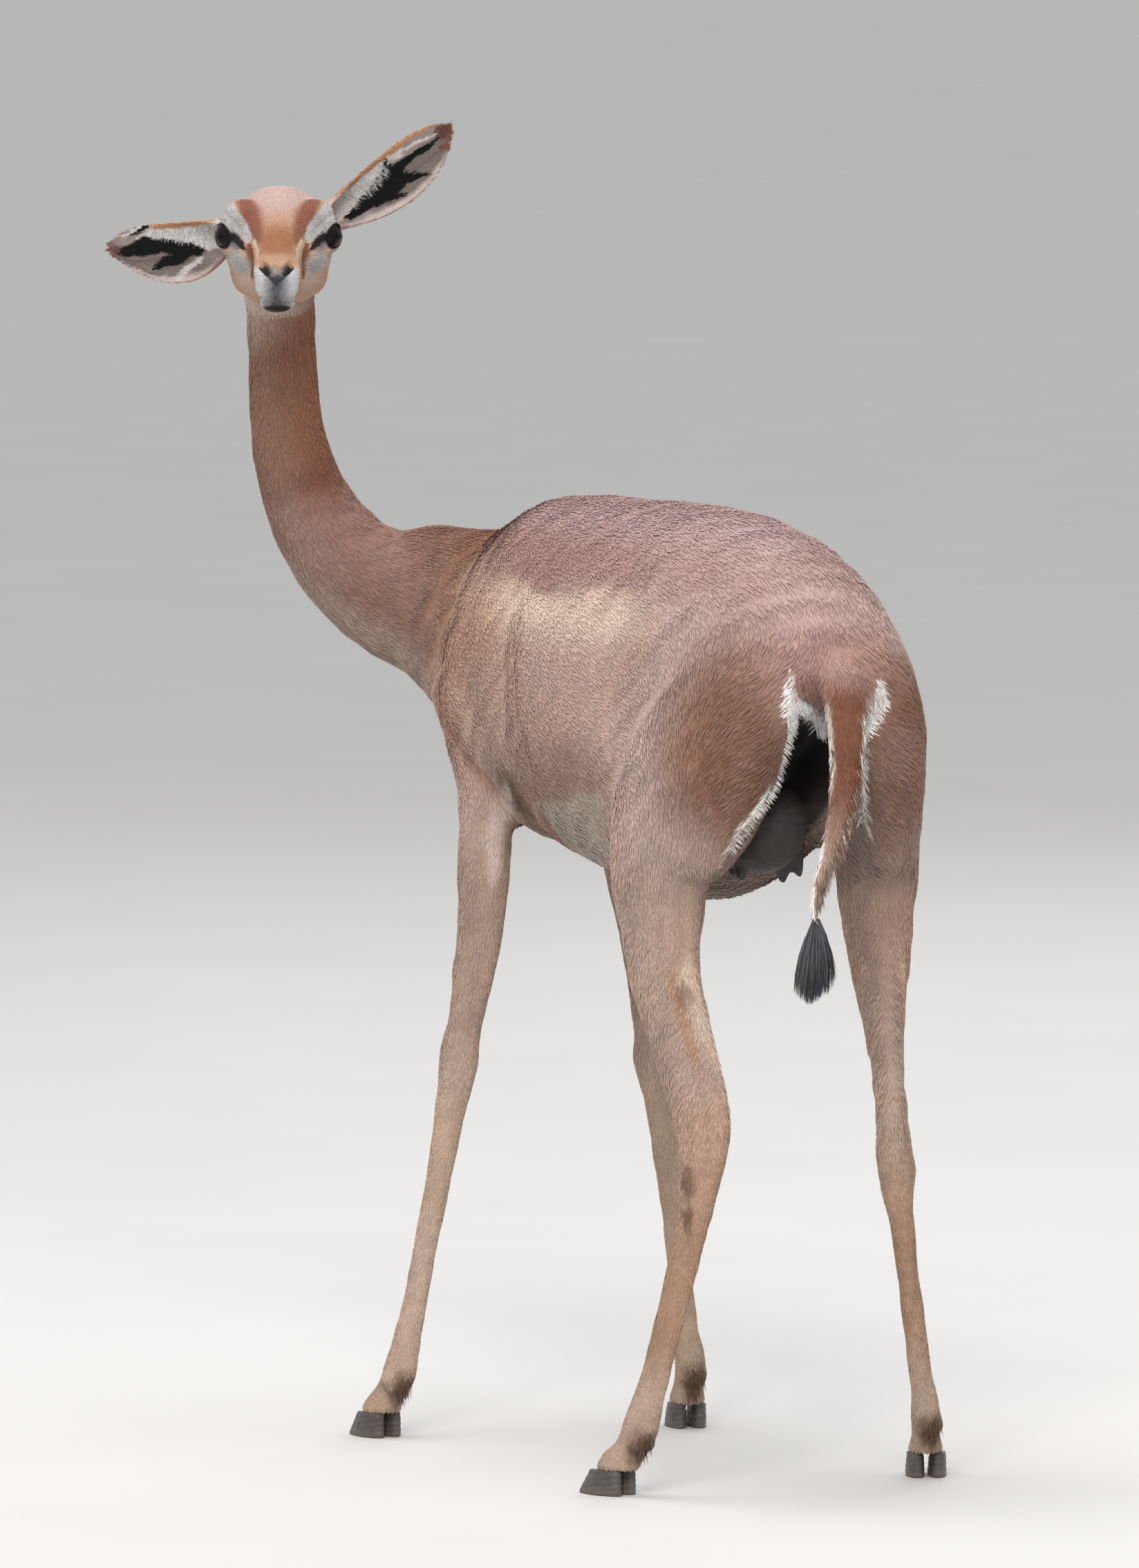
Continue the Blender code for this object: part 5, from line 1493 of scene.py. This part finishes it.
def on_surface(tree, points, way=FORWARD):
    """Where rays from points meet the skin, or else the skin's nearest places, and the normals there."""
    hits = []
    for point in points:
        hit = tree.ray_cast(Vector(point), Vector(way), RAY_REACH)
        hits.append(tree.find_nearest(Vector(point)) if hit[0] is None else hit)
    return np.array([hit[0] for hit in hits]), np.array([hit[1] for hit in hits])


def grown(draw, roots, normal, way, lift, bend, scatter, length, sink):
    """Roots, first ways, last ways and lengths of strands that leave along way and turn towards bend."""
    n = len(roots)
    start = unit(way + normal * lift + draw.normal(0, scatter[0], (n, 3)))
    end = unit(bend + draw.normal(0, scatter[1], (n, 3)))
    return roots - normal * sink, start, end, draw.uniform(*length, n)


def along_line(rows, count, draw):
    """Random places along a polyline and their shares of the way."""
    fine = catmull([row[:3] for row in rows], 12)
    at = draw.uniform(0, len(fine) - 1.001, count)
    low = at.astype(int)
    return fine[low] + (fine[low + 1] - fine[low]) * (at - low)[:, None], at / (len(fine) - 1)


def cell(places, k, cells=4):
    """Places spread over one cell of the map, by their own two widest directions."""
    low, high = places.min(axis=0), places.max(axis=0)
    wide = np.argsort(low - high)[:2]
    flat = (places[:, wide] - low[wide]) / np.maximum(high[wide] - low[wide], 1e-4)
    return (0.03 + 0.94 * flat + np.array((k % cells, k // cells))) / cells


def ear_fringe(tree, name, draw):
    """White hair that hangs from the upper margin of an ear over its dark cup."""
    ear = EAR[name]
    n = 420
    share = draw.uniform(0.27, BAND_END[name] - 0.01, n)
    reach = np.interp(share, [0.0, 0.3, 0.45, 0.56, 0.7], [-0.9, -0.3, 0.07, 0.3, 0.58])
    across = reach + (0.84 - reach) * draw.uniform(0.12, 1.0, n)
    places = from_head(ear.place(share, across, np.full(n, 0.02)))
    roots, normal = on_surface(tree, places, -(HEAD_TURNED @ ear.faces))
    down = HEAD_TURNED @ (-ear.across * ear.upward * 0.92 + ear.along * 0.38)
    bend = down + normal * 0.02
    return grown(draw, roots, normal, down, 0.16, bend, (0.1, 0.1), (0.004, 0.0075), 0.0004)


# Hair along edges of the body: line, number, way, scatter, lengths, and spread in half widths of the line.
THIGH_FRINGES = [
    (EDGE_LEFT[1:-1], 620, (-0.75, 0.12, -0.6), 0.12, (0.006, 0.0105), 0.7),
    (EDGE_LEFT[:4], 240, (-0.14, 0.15, -1.0), 0.18, (0.009, 0.014), 0.8),
    (EDGE_RIGHT[1:-1], 260, (0.4, 0.12, -0.9), 0.12, (0.005, 0.008), 0.7),
    (EDGE_RIGHT[:3], 220, (0.1, 0.15, -1.0), 0.18, (0.008, 0.013), 0.8),
    (ARCH, 520, (-0.1, 0.3, -0.9), 0.16, (0.008, 0.013), 0.8),
]
ROOT_FRINGE = (ROOT, 420, (-0.12, 0.25, -1.0), 0.12, (0.013, 0.02), 1.0)


def edge_fringe(tree, draw, rows, count, way, scatter, length, wide):
    """Hair along an edge of the body, rooted within the painted stroke."""
    places, share = along_line(rows, count, draw)
    half = np.interp(share, np.linspace(0, 1, len(rows)), [row[3] for row in rows])[:, None]
    places = places + draw.uniform(-1, 1, (count, 3)) * half * wide
    roots, normal = on_surface(tree, places + np.array((0, 0.03, 0)))
    bend = np.array(way) + np.array((0, 0, -0.25))
    return grown(draw, roots, normal, np.array(way), 0.22, bend, (scatter, scatter), length, 0.0006)


def tail_places(z, share):
    """Points just behind the tail at heights z, share of the half width from its middle."""
    x = np.interp(z, [0.58, 0.6, 0.63, 0.7, 0.79], [0.017, 0.015, 0.002, -0.021, -0.032])
    half = np.interp(z, [0.58, 0.6, 0.66, 0.745, 0.79], [0.0035, 0.0048, 0.0112, 0.0195, 0.022])
    y = np.interp(z, [0.58, 0.6, 0.66, 0.745, 0.79], [0.393, 0.392, 0.382, 0.366, 0.35])
    return np.column_stack([x + half * share, y + 0.02, z])


def tail_side(tree, side, count, draw):
    """Hair along one edge of the tail, which flares a little and points down; side -1 has longer hair."""
    z = 0.632 + 0.125 * draw.random(count)
    roots, normal = on_surface(tree, tail_places(z, side * draw.uniform(0.72, 1.0, count)))
    low = fade(0.64, 0.71, z)
    flare = (0.22 + (0.45 if side < 0 else 0.08) * low)[:, None]
    way = flare * (side, 0, 0) + np.array((0, 0.0, -1.0))
    reach = 1.0 if side < 0 else 0.6
    bend, length = np.array((side * 0.05, 0.0, -1.0)), (0.011 * reach, 0.018 * reach)
    return grown(draw, roots, normal, way, 0.1, bend, (0.08, 0.08), length, 0.0006)


def tail_back(tree, count, draw):
    """Red-brown hair down the tail's back, wider than its core lower down."""
    z = draw.uniform(0.585, 0.78, count)
    share = draw.uniform(-0.98, 0.98, count)
    roots, normal = on_surface(tree, tail_places(z, share))
    low = fade(0.66, 0.73, z) * ease(0.6, 0.63, z)
    away = np.outer(share * (0.12 + 0.5 * low) - 0.3 * low, (1, 0, 0))
    way, bend = away + np.array((0, 0.05, -1.0)), away * 0.3 + np.array((0, 0.0, -1.0))
    return grown(draw, roots, normal, way, 0.16, bend, (0.06, 0.05), (0.012, 0.021), 0.0005)


IMAGE_RIGHT = np.array((-0.9026, 0.4305, 0.0))
IMAGE_DEPTH = np.array((0.4305, 0.9026, 0.0))
# The tuft as the camera sees it: heights with half widths, then heights with its lean to the right.
TUFT_ROWS = [
    (0.482, 0.008),
    (0.488, 0.015),
    (0.495, 0.0182),
    (0.505, 0.0195),
    (0.517, 0.0165),
    (0.53, 0.0112),
    (0.545, 0.007),
    (0.557, 0.0034),
]
TUFT_LEAN = [(0.486, -0.006), (0.505, 0.001), (0.53, 0.003), (0.557, 0.0)]
TUFT_TOP = np.array((0.0185, 0.3915, 0.56))


def tail_tuft(draw):
    """Dense dark locks that leave the tail's end and fill a drop shape."""
    n = 760
    turn = draw.uniform(0, 2 * np.pi, n)
    away = np.sqrt(draw.uniform(0.02, 1.0, n))
    bottom = 0.4825 + 0.03 * draw.random(n) ** 2 * away + 0.008 * away**3 + 0.004 * draw.random(n) * away
    half = np.interp(bottom, *np.array(TUFT_ROWS).T) * away
    lean = np.interp(bottom, *np.array(TUFT_LEAN).T)
    right, depth = np.cos(turn), np.sin(turn)
    tip = TUFT_TOP + np.outer(right * half + lean, IMAGE_RIGHT) + np.outer(depth * half * 0.8, IMAGE_DEPTH)
    tip[:, 2] = bottom
    roots = TUFT_TOP + np.outer(right * away * 0.003, IMAGE_RIGHT)
    roots += np.outer(depth * away * 0.003, IMAGE_DEPTH)
    roots[:, 2] += draw.uniform(-0.01, 0.004, n)
    span = tip - roots
    side = unit(np.outer(right, IMAGE_RIGHT) + np.outer(depth, IMAGE_DEPTH))
    flare = (0.1 + 0.3 * away)[:, None] * side
    start = unit(unit(span) + flare * np.sign(0.85 - draw.random(n))[:, None] * 0.8)
    return roots, start, unit(2 * unit(span) - start), np.linalg.norm(span, axis=1) * 1.03


def whiskers(tree, draw):
    """Fine stiff hairs on lips and chin."""
    n = 34
    side = np.where(draw.random(n) < 0.5, -1, 1)
    ends = ((0.004, 0.019), (0.212, 0.232), (-0.038, -0.014))
    across, along, up = (draw.uniform(low, high, n) for low, high in ends)
    ahead = HEAD_TURNED[:, 1]
    places = from_head(np.column_stack([side * across, along, up])) + HEAD_TURNED @ np.array((0, 0.02, 0))
    roots, normal = on_surface(tree, places, -ahead)
    start = unit(normal + ahead * 0.2 + draw.normal(0, 0.2, (n, 3)))
    return roots, start, unit(start + np.array((0, 0, -0.7))), draw.uniform(0.01, 0.022, n)


def lashes(side, draw):
    """Lashes of one upper lid, short, curved and dark."""
    n = 26
    centre, axis, long_way, high_way = eye_frame(side)
    high_way = high_way * np.sign(high_way[2])
    angle = draw.uniform(0.15, 0.85, n) * np.pi
    flat = np.outer(np.cos(angle) * OPENING[0], long_way) + np.outer(np.sin(angle) * OPENING[1], high_way)
    out = np.sqrt(np.maximum(EYE_RADIUS**2 - (flat**2).sum(axis=1), 0))
    places = centre + flat * 1.02 + np.outer(out + 0.0006, axis)
    start = unit(flat / 0.015 * 0.6 + axis + draw.normal(0, 0.08, (n, 3)))
    end = unit(flat / 0.015 + axis * 0.5 + np.array((0, -0.3, 0.3)))
    turn = HEAD_TURNED.T
    return from_head(places), start @ turn, end @ turn, draw.uniform(0.004, 0.0075, n)


def fetlock(tree, spot, draw):
    """Hair behind one pastern."""
    n = 70
    across, up = draw.uniform(-0.008, 0.008, n), draw.uniform(0.03, 0.062, n)
    places = np.array((spot[0], spot[1] + 0.03, 0.0)) + np.column_stack([across, np.zeros(n), up])
    roots, _ = on_surface(tree, places)
    start = unit(np.array((0, 0.35, -1.0)) + draw.normal(0, 0.12, (n, 3)))
    return roots, start, unit(start + np.array((0, 0, -0.4))), draw.uniform(0.007, 0.012, n)


def add_strands(name, parts, width, colour, tip_colour, fur, draw, replaces=()):
    """One piece from several groups of strands."""
    roots, start, end, length = (np.concatenate([part[k] for part in parts]) for k in range(4))
    uv = np.concatenate([cell(part[0], k) for k, part in enumerate(parts)])
    n = len(roots)
    tones = [np.zeros((n, 3)) + np.array(c, float) for c in (colour, tip_colour)]
    obj = make_strands(name, roots, start, end, length, draw.uniform(*width, n), *tones, uv, draw)
    placed(obj, fur, replaces)


TAIL_SIDES = ((1, 300, (0.62, 0.47, 0.34)), (-1, 640, WHITE))  # side, number and colour of the hair
TAIL_HAIRS = 1900
WHITE_TIP = (0.94, 0.92, 0.89)
ROOT_HAIR = (0.32, 0.18, 0.148)
ROOT_HAIR_TIP = (0.38, 0.225, 0.185)
LASH = (0.03, 0.025, 0.022)
FETLOCK = (0.12, 0.07, 0.045)
FETLOCK_TIP = (0.2, 0.13, 0.09)


def add_long_hair(skin, fur):
    """Hair that is longer than the coat, on ears, thighs, tail, face and pasterns."""
    draw = np.random.default_rng(11)
    tree = BVHTree.FromPolygons((points_of(skin) - OFFSET).tolist(), triangles_of(skin).tolist())
    hair = [ear_fringe(tree, name, draw) for name in sorted(EAR)]
    add_strands("hair_ears", hair, (0.00035, 0.0007), EAR_WHITE, EAR_HAIR_TIP, fur, draw)
    hair = [edge_fringe(tree, draw, *row) for row in THIGH_FRINGES]
    add_strands("hair_thighs", hair, (0.00045, 0.00085), WHITE, WHITE_TIP, fur, draw)
    hair = [edge_fringe(tree, draw, *ROOT_FRINGE)]
    add_strands("hair_tail_root", hair, (0.0005, 0.0009), ROOT_HAIR, ROOT_HAIR_TIP, fur, draw)
    hair = [tail_side(tree, side, count, draw) for side, count, _ in TAIL_SIDES]
    tone = np.vstack([np.tile(colour, (count, 1)) for _, count, colour in TAIL_SIDES])
    add_strands("hair_tail_edges", hair, (0.00045, 0.0008), tone, tone * 1.08, fur, draw)
    hair = tail_back(tree, TAIL_HAIRS, draw)
    high = ease(0.6, 0.7, hair[0][:, 2])[:, None]
    tone = np.array(LEG) * 0.8 + (np.array(TAIL) - np.array(LEG) * 0.8) * high
    tone = tone * draw.choice([0.55, 0.9, 1.0, 1.25], TAIL_HAIRS, p=[0.15, 0.3, 0.35, 0.2])[:, None]
    add_strands("hair_tail_back", [hair], (0.00045, 0.00085), tone, tone * 1.3, fur, draw)
    brush, replaced = fur_material("brush", 0.5), ["tail_tuft"]
    hair = [tail_tuft(draw)]
    add_strands("tail_locks", hair, (0.0008, 0.0014), BRUSH, BRUSH_TIP, brush, draw, replaced)
    hair = [lashes(-1, draw), lashes(1, draw), whiskers(tree, draw)]
    add_strands("hair_face", hair, (0.0001, 0.00018), LASH, LASH, fur, draw)
    hair = [fetlock(tree, spot, draw) for spot in HEELS]
    add_strands("hair_fetlocks", hair, (0.0004, 0.0007), FETLOCK, FETLOCK_TIP, fur, draw)


EYE_RINGS = 72
EYE_TURNS = 112
EYE_DARK = (0.004, 0.003, 0.003)
IRIS = (0.008, 0.0045, 0.004)
IRIS_EDGE = (0.004, 0.003, 0.004)
PUPIL = (0.001, 0.001, 0.0015)


def eyeball():
    """Points and triangles of an eye that looks along z, with a low cornea."""
    polar = np.linspace(0.0, np.pi, EYE_RINGS + 1)[1:-1]
    t, a = np.meshgrid(polar, np.linspace(0, 2 * np.pi, EYE_TURNS, endpoint=False), indexing="ij")
    radius = EYE_RADIUS - 0.0002 + 0.0007 * np.exp(-((t / 0.62) ** 4))
    co = np.stack([np.sin(t) * np.cos(a), np.sin(t) * np.sin(a), np.cos(t)], axis=-1) * radius[..., None]
    co = np.vstack([co.reshape(-1, 3), [(0, 0, EYE_RADIUS + 0.0005), (0, 0, -EYE_RADIUS)]])
    pairs = [(j, (j + 1) % EYE_TURNS) for j in range(EYE_TURNS)]
    faces = []
    for low in range(0, (EYE_RINGS - 2) * EYE_TURNS, EYE_TURNS):
        for j, k in pairs:
            a, b, c, d = low + j, low + k, low + EYE_TURNS + j, low + EYE_TURNS + k
            faces += [(a, c, b), (b, c, d)]
    last = (EYE_RINGS - 2) * EYE_TURNS
    for j, k in pairs:
        faces += [(len(co) - 2, j, k), (len(co) - 1, last + k, last + j)]
    return co, faces


def add_eye(name, side, material):
    """A glossy eye with a low cornea, dark brown iris and level slit pupil."""
    centre, axis, _, _ = eye_frame(side)
    level = unit(np.array((-axis[1], axis[0], 0.0)))
    flat, faces = eyeball()
    x, y, z = flat.T
    head = np.outer(x, level) + np.outer(y, np.cross(axis, level)) + np.outer(z, axis) + centre
    obj = mesh_from(name.replace("eye", "eyeball"), from_head(head) + OFFSET, faces)
    reach, front = np.hypot(x, y), z > 0
    iris = fade(0.0122, 0.013, reach) * front
    fibre = noise(np.column_stack([np.arctan2(y, x) * 9, reach * 300, np.zeros(len(flat))]), 1.0, 30)
    pupil = fade(0.85, 1.1, np.hypot(x / 0.0078, y / 0.004))
    marks = [
        (np.array(IRIS) * (1 + 0.35 * fibre)[:, None], iris),
        (IRIS_EDGE, iris * ease(0.0105, 0.0122, reach) * 0.8),
        (PUPIL, pupil * front),
    ]
    store_colour(obj, np.clip(layers(plain(EYE_DARK, flat), marks), 0.001, 1))
    placed(obj, material, [name])


def refined(name, node, voxel, rounds):
    """A finer, rounder mesh of one CAD node, with its points and normals."""
    obj = remeshed(merged(name, [node]), voxel, rounds)
    obj.data.shade_smooth()
    return obj, points_of(obj), normals_of(obj)


HORN_WORN = (0.135, 0.105, 0.08)
HORN_DARK = (0.03, 0.024, 0.022)
RING_SPACING = 0.0028
UDDER_LOW = (0.03, 0.022, 0.022)


def add_hoof(node, material):
    """Horn with growth rings, paler and chipped towards the ground edge, dark at the hair line."""
    obj, co, normals = refined(node.replace("hoof", "horn"), node, 0.0014, 3)
    ring = np.sin((co[:, 2] - 0.15 * co[:, 1]) / RING_SPACING * np.pi + 1.5 * noise(co, 0.012, 40))
    sides = fade(0.6, 0.9, np.abs(normals[:, 2]))
    co = co + normals * (0.00022 * ring * sides + 0.00025 * noise(co, 0.004, 41) * sides)[:, None]
    co[:, 2] = np.maximum(co[:, 2], 0.0)
    move_points(obj, co)
    marks = [
        (HORN_WORN, fade(0.001, 0.01, co[:, 2]) * 0.6),
        (HORN_DARK, ease(0.022, 0.032, co[:, 2]) * 0.7),
    ]
    tone = plain(HORN, co) * (1 + 0.16 * ring + 0.3 * noise(co, 0.006, 42))[:, None]
    store_colour(obj, np.clip(layers(tone, marks), 0.005, 0.9))
    placed(obj, material, [node])


def add_udder():
    """Bare dark skin with fine wrinkles, its upper side grown into the belly."""
    obj, co, normals = refined("udder_skin", "udder", 0.002, 10)
    rise = ease(0.0, 0.5, normals[:, 2])
    out = 0.003 * rise + 0.0006 * noise(co, 0.01, 50) + 0.00025 * noise(co, 0.0035, 51)
    co = co + normals * out[:, None]
    move_points(obj, co)
    low = co[:, 2].min()
    tone = plain(UDDER, co) * (1 + 0.3 * noise(co, 0.02, 52) + 0.15 * noise(co, 0.005, 53))[:, None]
    tone = lay(tone, UDDER_LOW, fade(low + 0.008, low + 0.026, co[:, 2]))
    store_colour(obj, np.clip(tone, 0.005, 0.9))
    material = coated("udder", (500, 3, 0.85, 1.15), (300, 2, 0.5, 0.66), (700, 4, 0.7, 0.0006, 0.8))
    placed(obj, material, ["udder"])


FLOOR_REACH = 150
FLOOR_DROP = 0.0002
FLOOR_TINTS = {"A": (0.56, 0.55, 0.53, 1), "B": (0.6, 0.59, 0.57, 1)}
SKY = (0.96, 0.97, 1.0, 1)
SKY_STRENGTH = 0.8
LIGHTS_AIM = Vector((0, 0, 0.75))
# Lights: place, size, power and colour.
LIGHTS = {
    "key": ((4.0, 7.0, 6.5), 3.5, 620, (1.0, 0.97, 0.94)),
    "top": ((0.5, -0.5, 5.0), 2.5, 110, (1.0, 0.98, 1.0)),
    "back": ((-4.0, -4.0, 4.0), 4.0, 90, (1, 1, 1)),
}


def add_light(name, place, size, power, colour):
    light = bpy.data.lights.new(name, "AREA")
    light.size = size
    light.energy = power
    light.color = colour
    obj = linked(name, light)
    obj.location = place
    obj.rotation_euler = (LIGHTS_AIM - Vector(place)).to_track_quat("-Z", "Y").to_euler()


def add_floor():
    signs = ((-1, -1), (1, -1), (1, 1), (-1, 1))
    corners = [(x * FLOOR_REACH, y * FLOOR_REACH, -FLOOR_DROP) for x, y in signs]
    floor = mesh_from("floor", corners, [(0, 1, 2), (0, 2, 3)])
    shader = Shader("floor")
    tint = shader.node("Mix", data_type="RGBA")
    for socket, colour in FLOOR_TINTS.items():
        tint.inputs[socket].default_value = colour
    shader.link(shader.noise(3, 2), tint.inputs["Factor"])
    shader.link(tint.outputs["Result"], shader.inputs["Base Color"])
    shader.fixed(Roughness=0.9)
    floor.data.materials.append(shader.material)


def add_studio():
    """Pale floor, pale surroundings and large soft lights, the strongest from above."""
    add_floor()
    world = bpy.data.worlds.new("studio")
    bpy.context.scene.world = world
    world.use_nodes = True
    background = world.node_tree.nodes["Background"].inputs
    background["Color"].default_value = SKY
    background["Strength"].default_value = SKY_STRENGTH
    for name, row in LIGHTS.items():
        add_light(name, *row)
    bpy.context.scene.view_settings.view_transform = "Standard"


skin, fur = build_coat()
add_long_hair(skin, fur)
eyes = coated("eye", (900, 3, 0.85, 1.15), (200, 2, 0.03, 0.07), IOR=1.36, Specular_IOR_Level=0.26)
for side, name in ((-1, "eye_left"), (1, "eye_right")):
    add_eye(name, side, eyes)
horn = coated(
    "horn", (700, 4, 0.75, 1.25), (260, 3, 0.34, 0.58), (1500, 3, 0.6, 0.0003, 0.6), Specular_IOR_Level=0.45
)
for hoof in sorted(name for name in NODES if "hoof" in name):
    add_hoof(hoof, horn)
add_udder()
add_studio()
